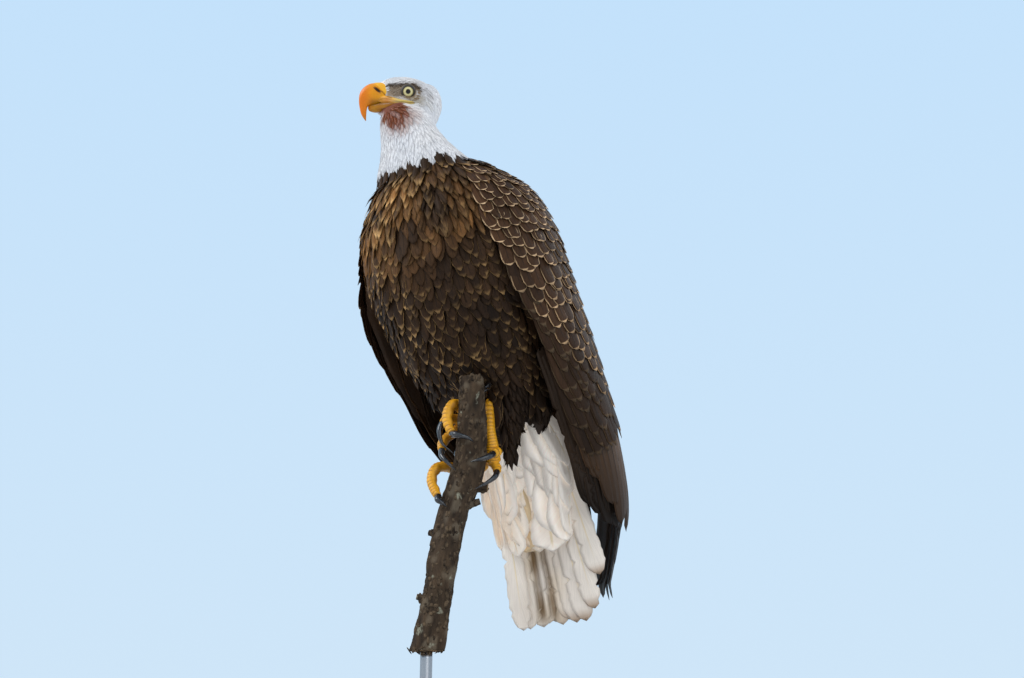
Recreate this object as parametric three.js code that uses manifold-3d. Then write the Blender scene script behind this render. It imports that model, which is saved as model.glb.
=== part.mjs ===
// A bald eagle at life size, gripping a cut length of steep branch that a plain display stand holds.
// Millimetres, +Z up. The trunk faces -Y and its left side is +X, with the head turned to its right.
// The origin is the centre of the stand's underside. Feathered parts are closed solids out to the
// tips of the feathers; neighbours are cut to leave a small gap, so that nothing overlaps.
import * as THREE from "three";
import { mergeVertices } from "three/addons/utils/BufferGeometryUtils.js";
import Module from "manifold-3d";

const wasm = await Module();
wasm.setup();

// Driving dimensions
const GAP = 0.35; // left between two pieces that touch
const BASE = { radius: 185, thickness: 22, chamfer: 4 };
const ROD = { radius: 8, sink: 14 };
const EYE_RADIUS = 12;
const TAIL_FEATHERS = 12;
const SIDES = [
  { name: "left", sign: 1 },
  { name: "right", sign: -1 },
];

const COLOUR = {
  brown: 0x3b2a1e,
  darkBrown: 0x2a1e17,
  white: 0xeceae6,
  bill: 0xf0a016,
  cere: 0xe8b62a,
  skin: 0xe9a31c,
  claw: 0x1d1b1c,
  eye: 0xe6dfae,
  bark: 0x5b4a3f,
  base: 0x2b211b,
  steel: 0x77787a,
};

// ---------- shape helpers ----------

const vec = (x, y, z) => new THREE.Vector3(x, y, z);
const radians = THREE.MathUtils.degToRad;

/** The stations' fields at t from 0 to 1, through evenly spaced stations on a smooth curve. */
function stationAt(stations, t) {
  const last = stations.length - 1;
  const place = THREE.MathUtils.clamp(t, 0, 1) * last;
  const i = Math.min(Math.floor(place), last - 1);
  const f = place - i;
  const near = [i - 1, i, i + 1, i + 2].map(
    (k) => stations[THREE.MathUtils.clamp(k, 0, last)],
  );
  const result = {};
  for (const key of Object.keys(stations[0])) {
    const [a, b, c, d] = near.map((station) => station[key]);
    const slopeB = (c - a) / 2;
    const slopeC = (d - b) / 2;
    const cubic = 2 * b - 2 * c + slopeB + slopeC;
    const square = 3 * c - 3 * b - 2 * slopeB - slopeC;
    result[key] = ((cubic * f + square) * f + slopeB) * f + b;
  }
  return result;
}

/** A closed geometry through rings of points, each ring going round the same way. */
function loft(rings) {
  const count = rings[0].length;
  const centre = (ring) =>
    ring.reduce((sum, p) => sum.add(p), vec(0, 0, 0)).divideScalar(count);
  const points = rings.flat();
  const faces = [];
  for (let r = 0; r + 1 < rings.length; r++) {
    for (let i = 0; i < count; i++) {
      const j = (i + 1) % count;
      const a = r * count + i;
      const b = r * count + j;
      faces.push(a, b, b + count, a, b + count, a + count);
    }
  }
  const first = points.push(centre(rings[0])) - 1;
  const last = points.push(centre(rings.at(-1))) - 1;
  const top = (rings.length - 1) * count;
  for (let i = 0; i < count; i++) {
    const j = (i + 1) % count;
    faces.push(first, j, i, last, top + i, top + j);
  }
  const geometry = new THREE.BufferGeometry().setFromPoints(points);
  geometry.setIndex(faces);
  return geometry;
}

/** A geometry as a manifold solid, turned to face out if its rings ran the other way. */
function solid(geometry) {
  const plain = geometry.clone();
  plain.deleteAttribute("normal");
  plain.deleteAttribute("uv");
  const merged = mergeVertices(plain, 1e-4);
  const triVerts = new Uint32Array(merged.index.array);
  const vertProperties = merged.attributes.position.array;
  const made = new wasm.Manifold(
    new wasm.Mesh({ numProp: 3, vertProperties, triVerts }),
  );
  if (made.volume() > 0) return made;
  for (let i = 0; i < triVerts.length; i += 3) {
    [triVerts[i + 1], triVerts[i + 2]] = [triVerts[i + 2], triVerts[i + 1]];
  }
  return new wasm.Manifold(
    new wasm.Mesh({ numProp: 3, vertProperties, triVerts }),
  );
}

const loftSolid = (rings) => solid(loft(rings));
const joined = (solids) => solids.reduce((all, next) => all.add(next));
const cutBy = (piece, cutters) =>
  cutters.reduce((left, cutter) => left.subtract(cutter), piece);

/** The largest piece of a solid, without the crumbs that cuts leave. */
function largest(piece) {
  return piece
    .decompose()
    .reduce((best, next) => (next.volume() > best.volume() ? next : best));
}

/** A solid as a geometry for a mesh. */
function geometryOf(piece) {
  const { numProp, numVert, vertProperties, triVerts } = piece.getMesh();
  const positions = new Float32Array(numVert * 3);
  for (let i = 0; i < numVert; i++) {
    positions.set(vertProperties.subarray(i * numProp, i * numProp + 3), i * 3);
  }
  const geometry = new THREE.BufferGeometry();
  geometry.setAttribute("position", new THREE.BufferAttribute(positions, 3));
  geometry.setIndex(new THREE.BufferAttribute(new Uint32Array(triVerts), 1));
  geometry.computeVertexNormals();
  return geometry;
}

/** -1 at the first of `count` rings, 1 at the last and 0 between, for pushing ends outwards. */
function endSign(i, count) {
  if (i === 0) return -1;
  return i === count - 1 ? 1 : 0;
}

/** One ring of a body: an oval with its own half-depth above and below the centre. */
function oval(centre, sideways, upwards, size, segments) {
  const ring = [];
  for (let i = 0; i < segments; i++) {
    const angle = (2 * Math.PI * i) / segments;
    const across = Math.cos(angle) * size.side;
    const rise = Math.sin(angle);
    const up = rise * (rise > 0 ? size.back : size.belly);
    ring.push(
      centre
        .clone()
        .addScaledVector(sideways, across)
        .addScaledVector(upwards, up),
    );
  }
  return ring;
}

/** Rings of ovals along stations, swollen by `grow` and turned by `turn` about upright. */
function bodyRings(stations, count, segments, grow = 0, turn = 0) {
  const at = (t) => {
    const s = stationAt(stations, t);
    return { ...s, centre: vec(s.x ?? 0, s.y, s.z) };
  };
  const rings = [];
  for (let i = 0; i < count; i++) {
    const t = i / (count - 1);
    const here = at(t);
    const along = at(Math.min(t + 0.01, 1))
      .centre.sub(at(Math.max(t - 0.01, 0)).centre)
      .normalize();
    const flat = vec(Math.cos(radians(turn)), Math.sin(radians(turn)), 0);
    const sideways = flat.projectOnPlane(along).normalize();
    const upwards = along.clone().cross(sideways).normalize();
    if (upwards.z + upwards.y < 0) upwards.negate();
    const size = {
      side: here.side + grow,
      back: here.back + grow,
      belly: here.belly + grow,
    };
    here.centre.addScaledVector(along, grow * endSign(i, count));
    rings.push(oval(here.centre, sideways, upwards, size, segments));
  }
  return rings;
}

/** Rings of a round limb along points that have their own radii. */
function limbRings(points, radii, count, segments, grow = 0) {
  const curve = new THREE.CatmullRomCurve3(points, false, "centripetal");
  const sizes = radii.map((radius) => ({ radius }));
  const frames = curve.computeFrenetFrames(count - 1, false);
  const rings = [];
  for (let i = 0; i < count; i++) {
    const t = i / (count - 1);
    const radius = stationAt(sizes, t).radius + grow;
    const push = frames.tangents[i].clone().multiplyScalar(grow * endSign(i, count));
    const centre = curve.getPoint(t).add(push);
    const size = { side: radius, back: radius, belly: radius };
    rings.push(
      oval(centre, frames.normals[i], frames.binormals[i], size, segments),
    );
  }
  return rings;
}

const VANE = 0.27; // how far to each side a feather keeps its full length, of its spacing
const mixNumbers = (a, b, f) =>
  Object.fromEntries(Object.keys(a).map((k) => [k, a[k] + (b[k] - a[k]) * f]));

/** Two lines down each feather, with a lower and shorter line between neighbours. */
function featherLines(feathers, shorten) {
  const last = feathers.length - 1;
  const mixAt = (place) => {
    const i = THREE.MathUtils.clamp(Math.floor(place), 0, last - 1);
    return mixNumbers(feathers[i], feathers[i + 1], place - i);
  };
  const lines = [];
  for (let i = 0; i <= last + 1; i++) {
    const a = feathers[THREE.MathUtils.clamp(i - 1, 0, last - 1)];
    const b = feathers[THREE.MathUtils.clamp(i, 1, last)];
    lines.push({ ...shorten(mixAt(i - 0.5), a, b), high: 0 });
    if (i > last) break;
    for (const aside of [-VANE, VANE]) {
      lines.push({ ...mixAt(i + aside), high: 1 });
    }
  }
  return lines;
}

/** Overlapping feathers as one closed sheet: `at` places a line's point from root to tip. */
function featherSheet(lines, at, { thick, ridge, rows }, grow = 0, flip = 1) {
  const columns = lines.length;
  const spot = (c, r) => {
    const line = lines[THREE.MathUtils.clamp(c, 0, columns - 1)];
    return at(line, THREE.MathUtils.clamp(r, 0, rows - 1) / (rows - 1));
  };
  const points = [];
  for (let c = 0; c < columns; c++) {
    for (let r = 0; r < rows; r++) {
      const along = spot(c, r + 1).sub(spot(c, r - 1)).normalize();
      const across = spot(c + 1, r).sub(spot(c - 1, r)).normalize();
      const out = along.clone().cross(across).normalize().multiplyScalar(flip);
      const here = spot(c, r)
        .addScaledVector(along, grow * endSign(r, rows))
        .addScaledVector(across, grow * endSign(c, columns));
      const half = (thick / 2) * (1 - (0.6 * r) / (rows - 1)) + grow;
      const rise = ridge * lines[c].high;
      points.push(here.clone().addScaledVector(out, rise + half));
      points.push(here.clone().addScaledVector(out, rise - half));
    }
  }
  const id = (c, r, under) => 2 * (c * rows + r) + under;
  const faces = [];
  const quad = (a, b, c, d) => faces.push(a, b, c, a, c, d);
  for (let c = 0; c + 1 < columns; c++) {
    for (let r = 0; r + 1 < rows; r++) {
      quad(id(c, r, 0), id(c + 1, r, 0), id(c + 1, r + 1, 0), id(c, r + 1, 0));
      quad(id(c, r, 1), id(c, r + 1, 1), id(c + 1, r + 1, 1), id(c + 1, r, 1));
    }
    const end = rows - 1;
    quad(id(c, 0, 0), id(c, 0, 1), id(c + 1, 0, 1), id(c + 1, 0, 0));
    quad(id(c, end, 0), id(c + 1, end, 0), id(c + 1, end, 1), id(c, end, 1));
  }
  for (let r = 0; r + 1 < rows; r++) {
    const end = columns - 1;
    quad(id(0, r, 0), id(0, r + 1, 0), id(0, r + 1, 1), id(0, r, 1));
    quad(id(end, r, 0), id(end, r, 1), id(end, r + 1, 1), id(end, r + 1, 0));
  }
  const geometry = new THREE.BufferGeometry().setFromPoints(points);
  geometry.setIndex(faces);
  return solid(geometry);
}

// ---------- trunk and thighs ----------

// From the base of the neck to the vent, down the middle plane.
const TRUNK = [
  { y: -128, z: 838, side: 48, back: 46, belly: 50 },
  { y: -110, z: 800, side: 103, back: 84, belly: 89 },
  { y: -86, z: 744, side: 137, back: 112, belly: 112 },
  { y: -56, z: 686, side: 141, back: 122, belly: 121 },
  { y: -22, z: 622, side: 132, back: 114, belly: 116 },
  { y: 20, z: 562, side: 117, back: 96, belly: 98 },
  { y: 58, z: 515, side: 90, back: 76, belly: 70 },
  { y: 90, z: 478, side: 56, back: 50, belly: 42 },
  { y: 112, z: 450, side: 26, back: 24, belly: 20 },
];
const trunkSolid = (grow) => loftSolid(bodyRings(TRUNK, 10, 13, grow));

// The feathered thigh: broad at the hip, hanging to a point behind the shank.
const THIGH = {
  left: [
    { x: 60, y: -8, z: 592, side: 34, back: 44, belly: 40 },
    { x: 62, y: -8, z: 545, side: 44, back: 54, belly: 48 },
    { x: 57, y: 0, z: 500, side: 34, back: 44, belly: 32 },
    { x: 52, y: 4, z: 460, side: 20, back: 25, belly: 17 },
    { x: 49, y: 4, z: 430, side: 13, back: 15, belly: 12 },
    { x: 45, y: 2, z: 402, side: 4, back: 4, belly: 4 },
  ],
  right: [
    { x: -56, y: -10, z: 590, side: 30, back: 40, belly: 40 },
    { x: -54, y: -16, z: 550, side: 44, back: 56, belly: 54 },
    { x: -40, y: -14, z: 512, side: 36, back: 44, belly: 36 },
    { x: -24, y: -8, z: 482, side: 24, back: 28, belly: 22 },
    { x: -10, y: -6, z: 456, side: 14, back: 15, belly: 12 },
    { x: 0, y: -6, z: 436, side: 5, back: 5, belly: 5 },
  ],
};

// The flank feathers behind each thigh hang over the white ones under the tail.
const flankStations = (sign) => [
  { x: sign * 66, y: 10, z: 570, side: 26, back: 36, belly: 30 },
  { x: sign * 70, y: 34, z: 520, side: 26, back: 36, belly: 24 },
  { x: sign * 68, y: 48, z: 478, side: 20, back: 26, belly: 14 },
  { x: sign * 63, y: 52, z: 446, side: 6, back: 9, belly: 5 },
];
const thighSolid = (name, sign, grow) =>
  joined([
    loftSolid(bodyRings(THIGH[name], 6, 9, grow)),
    loftSolid(bodyRings(flankStations(sign), 4, 9, grow)),
  ]);

// ---------- wings ----------

// Both folded wings follow one cloak round the body: ovals about a line in the middle plane.
// front and rear are the angles, up from straight sideways, between which the wing lies.
const CLOAK = [
  { y: -98, z: 826, side: 72, back: 60, front: -20, rear: 55, thick: 22 },
  { y: -86, z: 778, side: 131, back: 108, front: -32, rear: 70, thick: 32 },
  { y: -55, z: 714, side: 155, back: 139, front: -30, rear: 78, thick: 36 },
  { y: -25, z: 644, side: 161, back: 145, front: -24, rear: 82, thick: 34 },
  { y: 19, z: 574, side: 159, back: 141, front: -25, rear: 84, thick: 28 },
  { y: 72, z: 502, side: 153, back: 130, front: -30, rear: 82, thick: 20 },
  { y: 124, z: 424, side: 146, back: 112, front: -30, rear: 76, thick: 14 },
  { y: 166, z: 340, side: 132, back: 84, front: -24, rear: 62, thick: 10 },
  { y: 190, z: 252, side: 100, back: 54, front: 0, rear: 50, thick: 8 },
];

const ARM = { rings: 9, steps: 6, rootW: 0.015, tipW: 0.665 };
// The right wing's tip is held closer over the tail, from this far down the cloak.
const TUCK = { from: [0.6, 0.86], turn: 26, narrower: 0.27 };
// It also hangs a little fuller over the flank, about this height.
const DROOP = { at: 0.37, reach: 0.2, wider: 0.075 };

/** A point on the cloak: w runs down from the shoulder, angle round it, `under` lies inwards. */
function cloakPoint(sign, w, angle, under = 0) {
  const s = stationAt(CLOAK, w);
  const tuck = sign < 0 ? THREE.MathUtils.smoothstep(w, ...TUCK.from) : 0;
  const off = Math.min(Math.abs(w - DROOP.at) / DROOP.reach, 1);
  const droop = sign < 0 ? DROOP.wider * Math.pow(Math.cos((off * Math.PI) / 2), 2) : 0;
  const above = stationAt(CLOAK, Math.max(w - 0.01, 0));
  const below = stationAt(CLOAK, Math.min(w + 0.01, 1));
  const along = vec(0, below.y - above.y, below.z - above.z).normalize();
  const dorsal = vec(0, -along.z, along.y);
  const a = radians(angle + TUCK.turn * tuck);
  const side = s.side * (1 - TUCK.narrower * tuck + droop);
  return vec(0, s.y, s.z)
    .addScaledVector(vec(sign, 0, 0), Math.cos(a) * (side - under))
    .addScaledVector(dorsal, Math.sin(a) * (s.back - under));
}

/** The upper wing under its coverts: a bent slab over the shoulder and side. */
function wingArm(sign, grow = 0) {
  const { rings: count, steps, rootW, tipW } = ARM;
  const rings = [];
  for (let i = 0; i < count; i++) {
    const t = (1 - Math.cos((Math.PI * i) / (count - 1))) / 2;
    const w = rootW + t * (tipW - rootW) + (grow / 800) * endSign(i, count);
    const s = stationAt(CLOAK, w);
    const end = Math.sqrt(Math.max(0.12, 1 - Math.pow(2 * t - 1, 8)));
    const middle = (s.front + s.rear) / 2;
    const spread = ((s.rear - s.front) / 2) * end + grow * 0.4;
    const place = (j, under) =>
      cloakPoint(sign, w, middle - spread + (2 * spread * j) / steps, under);
    const ring = [];
    for (let j = 0; j <= steps; j++) ring.push(place(j, -grow));
    for (let j = steps; j >= 0; j--) {
      const edge = Math.sin((Math.PI * (j + 0.35)) / (steps + 0.7));
      ring.push(place(j, s.thick * end * Math.sqrt(edge) + 1.5 + grow));
    }
    rings.push(ring);
  }
  return loftSolid(rings);
}

// Each long feather's root and tip: how far down the cloak, and the angle round it.
const SECONDARIES = {
  under: 8,
  thick: 5,
  ridge: 1.6,
  rows: 4,
  feathers: [
    { rootW: 0.42, rootAngle: -22, tipW: 0.78, tipAngle: -26 },
    { rootW: 0.42, rootAngle: -6, tipW: 0.84, tipAngle: -13 },
    { rootW: 0.42, rootAngle: 10, tipW: 0.885, tipAngle: 1 },
    { rootW: 0.42, rootAngle: 26, tipW: 0.9, tipAngle: 16 },
    { rootW: 0.42, rootAngle: 43, tipW: 0.885, tipAngle: 32 },
    { rootW: 0.42, rootAngle: 60, tipW: 0.845, tipAngle: 49 },
    { rootW: 0.42, rootAngle: 77, tipW: 0.79, tipAngle: 67 },
  ],
};
const PRIMARIES = {
  under: 15,
  thick: 5,
  ridge: 1.6,
  rows: 4,
  feathers: [
    { rootW: 0.5, rootAngle: -28, tipW: 0.89, tipAngle: -34 },
    { rootW: 0.5, rootAngle: -16, tipW: 0.925, tipAngle: -26 },
    { rootW: 0.5, rootAngle: -4, tipW: 0.94, tipAngle: -13 },
    { rootW: 0.5, rootAngle: 10, tipW: 0.965, tipAngle: 3 },
    { rootW: 0.5, rootAngle: 24, tipW: 1.0, tipAngle: 19 },
    { rootW: 0.5, rootAngle: 40, tipW: 0.995, tipAngle: 60 },
    { rootW: 0.5, rootAngle: 52, tipW: 1.0, tipAngle: 77 },
  ],
};

/** A row of long wing feathers, deeply notched where their tips stand apart. */
function wingFeathers(sign, row, grow = 0) {
  const shorten = (line, a, b) => ({
    ...line,
    tipW: line.tipW - 0.022 - 0.003 * Math.max(0, b.tipAngle - a.tipAngle - 12),
  });
  const at = ({ rootW, rootAngle, tipW, tipAngle }, t) =>
    cloakPoint(
      sign,
      rootW + (tipW - rootW) * t,
      rootAngle + (tipAngle - rootAngle) * t,
      row.under,
    );
  return featherSheet(featherLines(row.feathers, shorten), at, row, grow, sign);
}

// ---------- tail ----------

const TAIL_TURN = 17; // the tail's underside is turned a little to the bird's left
const TAIL = {
  root: vec(0, 84, 500),
  tip: vec(-9, 190, 200),
  rootHalf: 42,
  tipHalf: { left: 66, right: 54 },
  outerSplay: 26,
  shorter: { left: 0.25, right: 0.03 },
  arch: 8,
  thick: 4.5,
  ridge: 1.5,
  rows: 3,
};

/** The tail's fan: long feathers from one root, the outer ones shorter and lower. */
function tailFan(grow = 0) {
  const down = TAIL.tip.clone().sub(TAIL.root);
  const along = down.clone().normalize();
  const turn = radians(TAIL_TURN);
  const sideways = vec(Math.cos(turn), Math.sin(turn), -0.1)
    .projectOnPlane(along)
    .normalize();
  const dorsal = sideways.clone().cross(along).normalize();
  const feathers = [];
  for (let i = 0; i < TAIL_FEATHERS; i++) {
    const k = (2 * i) / (TAIL_FEATHERS - 1) - 1;
    const outermost = i === TAIL_FEATHERS - 1 ? TAIL.outerSplay : 0;
    const side = k > 0 ? "left" : "right";
    feathers.push({
      root: k * TAIL.rootHalf,
      tip: k * TAIL.tipHalf[side] + outermost,
      length: 1 - TAIL.shorter[side] * k ** 8,
      drop: TAIL.arch * k * k,
    });
  }
  const shorten = (line, a, b) => ({
    ...line,
    length: line.length - 0.03 - 0.003 * Math.max(0, b.tip - a.tip - 14),
  });
  const at = (line, t) =>
    TAIL.root
      .clone()
      .addScaledVector(down, t * line.length)
      .addScaledVector(sideways, line.root + (line.tip - line.root) * t)
      .addScaledVector(dorsal, 5 * t * (1 - t) - line.drop * t);
  return featherSheet(featherLines(feathers, shorten), at, TAIL, grow);
}

// Soft white feathers over the root of the tail, below and above it.
const UNDERTAIL = [
  { x: 2, y: 66, z: 492, side: 50, back: 18, belly: 30 },
  { x: 2, y: 82, z: 458, side: 68, back: 16, belly: 34 },
  { x: 2, y: 98, z: 412, side: 74, back: 10, belly: 32 },
  { x: -3, y: 113, z: 368, side: 66, back: 4, belly: 24 },
  { x: -9, y: 129, z: 322, side: 44, back: 1, belly: 12 },
  { x: -11, y: 137, z: 300, side: 18, back: 0.5, belly: 4 },
];
const UPPERTAIL = [
  { x: 0, y: 104, z: 500, side: 44, back: 16, belly: 24 },
  { x: -3, y: 114, z: 462, side: 52, back: 14, belly: 16 },
  { x: -6, y: 124, z: 420, side: 46, back: 9, belly: 10 },
  { x: -9, y: 133, z: 384, side: 20, back: 3, belly: 3 },
];

// ---------- head and neck ----------

// The head's own frame: +X out along the bill, +Y to its left, +Z up, from midway between the eyes.
const HEAD_PLACE = vec(-12, -152, 939.5);
const HEAD_TURN = { azimuth: -132, pitch: -2, roll: 21 };
const headGroup = new THREE.Group();
headGroup.position.copy(HEAD_PLACE);
headGroup.rotation.set(
  radians(-HEAD_TURN.roll),
  radians(-HEAD_TURN.pitch),
  radians(HEAD_TURN.azimuth),
  "ZYX",
);

// Sections across the head, from the back of the skull to the chin's tip under the bill.
const HEAD = [
  { x: -51, top: -10, bottom: -26, side: 10 },
  { x: -44, top: 6, bottom: -46, side: 26 },
  { x: -30, top: 15, bottom: -58, side: 34 },
  { x: -12, top: 20, bottom: -62, side: 36.5 },
  { x: 4, top: 21.8, bottom: -59, side: 35 },
  { x: 18, top: 21.4, bottom: -50, side: 28 },
  { x: 30, top: 18.8, bottom: -43, side: 20 },
  { x: 39, top: 14.6, bottom: -39, side: 13 },
  { x: 47, top: 9.6, bottom: -36.5, side: 7 },
];

/** Rings across the head's X axis; `square` above 1 makes them boxier than an oval. */
function headRings(stations, count, segments, grow, square = 0.82) {
  const rings = [];
  for (let i = 0; i < count; i++) {
    const s = stationAt(stations, i / (count - 1));
    const middle = (s.top + s.bottom) / 2;
    const half = (s.top - s.bottom) / 2;
    const ring = [];
    for (let j = 0; j < segments; j++) {
      const a = (2 * Math.PI * j) / segments;
      const round = (v) => Math.sign(v) * Math.pow(Math.abs(v), square);
      ring.push(
        vec(
          s.x + grow * endSign(i, count),
          round(Math.cos(a)) * (s.side + grow),
          middle + round(Math.sin(a)) * (half + grow),
        ),
      );
    }
    rings.push(ring);
  }
  return rings;
}

// The neck, thick with hackles, from inside the head to its skirt on the breast.
const NECK = [
  { x: -15, y: -155, z: 906, side: 30, back: 38, belly: 36 },
  { x: -12, y: -152.5, z: 889, side: 40, back: 46, belly: 44 },
  { x: -8, y: -149, z: 867, side: 46, back: 51, belly: 45 },
  { x: -4, y: -140, z: 844, side: 58, back: 60, belly: 49 },
  { x: -2, y: -134, z: 824, side: 74, back: 70, belly: 54 },
  { x: -1, y: -131, z: 811, side: 80, back: 68, belly: 56 },
];

/** Rings of the neck, flat across, with the skirt's front reaching lower than its back. */
function neckSolid(grow = 0) {
  const rings = [];
  const count = 7;
  for (let i = 0; i < count; i++) {
    const t = i / (count - 1);
    const s = stationAt(NECK, t);
    const size = {
      side: s.side + grow,
      back: s.back + grow,
      belly: s.belly + grow,
    };
    const upwards = vec(0, 1, 0.3 * t).normalize();
    const centre = vec(s.x, s.y, s.z - grow * endSign(i, count));
    rings.push(oval(centre, vec(1, 0, 0), upwards, size, 14));
  }
  return loftSolid(rings);
}

const EYE = { x: 1, y: 25.5, z: -3.8 };
const BROW = { from: [29, 17, 9], to: [-12, 30.5, 9.5], radii: [3, 5.5, 5, 2.5] };

// The upper bill: each section runs from its ridge down to its cutting edge, out to the hook.
const BILL = [
  { ridge: [35.5, 10.8], edge: [22, -19], side: 17 },
  { ridge: [46, 10.6], edge: [36, -20.3], side: 15 },
  { ridge: [56.5, 8.4], edge: [46.5, -21.3], side: 12.6 },
  { ridge: [65, 2.2], edge: [54, -22.3], side: 10 },
  { ridge: [69.8, -6], edge: [58, -24.5], side: 7.6 },
  { ridge: [70.8, -16], edge: [59.3, -29.5], side: 5.4 },
  { ridge: [69.6, -26], edge: [59.8, -35], side: 3.6 },
  { ridge: [66.8, -36], edge: [60, -40.5], side: 2 },
  { ridge: [61, -44.8], edge: [60, -44.4], side: 0.6 },
];
const BILL_LINE = BILL.map(({ ridge, edge, side }) => ({
  ridgeX: ridge[0],
  ridgeZ: ridge[1],
  edgeX: edge[0],
  edgeZ: edge[1],
  side,
}));
const LOWER_BILL = [
  { x: 20, top: -16, bottom: -28, side: 14 },
  { x: 34, top: -16, bottom: -30.5, side: 12.5 },
  { x: 45, top: -17, bottom: -32.3, side: 10 },
  { x: 53, top: -19, bottom: -31.3, side: 6.6 },
  { x: 57.5, top: -23, bottom: -29, side: 2.6 },
];

// The fleshy corner of the mouth, from the cere back to under the eye.
const GAPE = { from: [29, 14, -15.5], to: [-7, 37, -21], bulge: 5, radii: [4, 3.2, 3, 1.6] };

/** The bill's upper half between two stretches of its line: round above, boxy at the edge. */
function billSolid(from, to, count, grow = 0) {
  const rings = [];
  for (let i = 0; i < count; i++) {
    const s = stationAt(BILL_LINE, from + ((to - from) * i) / (count - 1));
    const centre = vec((s.ridgeX + s.edgeX) / 2, 0, (s.ridgeZ + s.edgeZ) / 2);
    const upwards = vec(s.ridgeX - s.edgeX, 0, s.ridgeZ - s.edgeZ);
    const half = upwards.length() / 2;
    upwards.normalize();
    const along = vec(upwards.z, 0, -upwards.x);
    centre.addScaledVector(along, grow * endSign(i, count));
    const ring = [];
    for (let j = 0; j < 12; j++) {
      const a = (Math.PI * j) / 6;
      const power = Math.sin(a) < -0.01 ? 0.6 : 1;
      const round = (v) => Math.sign(v) * Math.pow(Math.abs(v), power);
      const point = centre.clone();
      point.addScaledVector(upwards, round(Math.sin(a)) * (half + grow));
      point.y += round(Math.cos(a)) * (s.side + grow);
      ring.push(point);
    }
    rings.push(ring);
  }
  return loftSolid(rings);
}

// ---------- perch, feet and stand ----------

// The branch, from its lower cut to its upper one, thick at the knot under the feet.
const BRANCH = [
  { x: -17, y: -83, z: 150, radius: 23.5 },
  { x: -8, y: -74, z: 216, radius: 20 },
  { x: 0, y: -68, z: 281, radius: 21 },
  { x: 8, y: -60, z: 335, radius: 21.5 },
  { x: 18, y: -53, z: 372, radius: 24 },
  { x: 25, y: -50, z: 402, radius: 22 },
  { x: 30, y: -51, z: 431, radius: 21 },
  { x: 36, y: -57, z: 466, radius: 19 },
  { x: 45, y: -69, z: 512, radius: 16.5 },
];

/** The branch's centre and radius at height z. */
function branchAt(z) {
  const first = BRANCH.findIndex((s) => s.z >= z);
  const i = THREE.MathUtils.clamp(first, 1, BRANCH.length - 1);
  const f = (z - BRANCH[i - 1].z) / (BRANCH[i].z - BRANCH[i - 1].z);
  return stationAt(BRANCH, (i - 1 + f) / (BRANCH.length - 1));
}

/** A point beside the branch: `turn` degrees round it, at height z, `lift` off its bark. */
function besideBranch(turn, z, lift) {
  const s = branchAt(z);
  const reach = s.radius + lift;
  const a = radians(turn);
  return vec(s.x + Math.cos(a) * reach, s.y + Math.sin(a) * reach, z);
}

function branchSolid(grow = 0) {
  const count = 11;
  const segments = 10;
  const rings = [];
  for (let i = 0; i < count; i++) {
    const t = i / (count - 1);
    const s = stationAt(BRANCH, t);
    const z = s.z + grow * endSign(i, count);
    const ring = [];
    for (let j = 0; j < segments; j++) {
      const a = (2 * Math.PI * j) / segments;
      const bark = 1 + 0.05 * Math.sin(3 * a + t * 9) + 0.03 * Math.sin(5 * a);
      const reach = s.radius * bark + grow;
      ring.push(vec(s.x + Math.cos(a) * reach, s.y + Math.sin(a) * reach, z));
    }
    rings.push(ring);
  }
  return loftSolid(rings);
}

// Broken side twigs at the knot: where each leaves the branch, and its size.
const STUBS = [
  { turn: 36, z: 370, length: 9, radius: 6.5, rise: -3 },
  { turn: 40, z: 337, length: 12, radius: 4.5, rise: 6 },
  { turn: 205, z: 300, length: 7, radius: 4, rise: 4 },
  { turn: 230, z: 214, length: 8, radius: 4.5, rise: 5 },
];

function stubSolid(stub, grow = 0) {
  const root = besideBranch(stub.turn, stub.z, -12);
  const tip = besideBranch(stub.turn, stub.z, stub.length);
  tip.z += stub.rise;
  const middle = root.clone().lerp(tip, 0.5);
  return loftSolid(
    limbRings(
      [root, middle, tip],
      [stub.radius * 1.25, stub.radius, stub.radius * 0.85],
      2,
      6,
      grow,
    ),
  );
}
const perchSolid = (grow) =>
  joined([branchSolid(grow), ...STUBS.map((stub) => stubSolid(stub, grow))]);

// Each shank ends in the ball of the foot, against the bark.
const SHANK = {
  left: {
    points: [
      vec(38, 6, 560),
      vec(34, -16, 505),
      vec(42, -28, 455),
      vec(46, -26, 424),
      vec(38, -17, 404),
    ],
    radii: [9, 8, 7.5, 9, 12],
  },
  right: {
    points: [
      vec(-22, -14, 570),
      vec(-14, -20, 540),
      vec(2, -32, 506),
      vec(13, -41, 480),
      vec(9, -40, 462),
    ],
    radii: [9, 8.5, 7.5, 9.5, 12],
  },
};
const shankSolid = (name, grow) =>
  loftSolid(limbRings(SHANK[name].points, SHANK[name].radii, 9, 8, grow));

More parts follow.
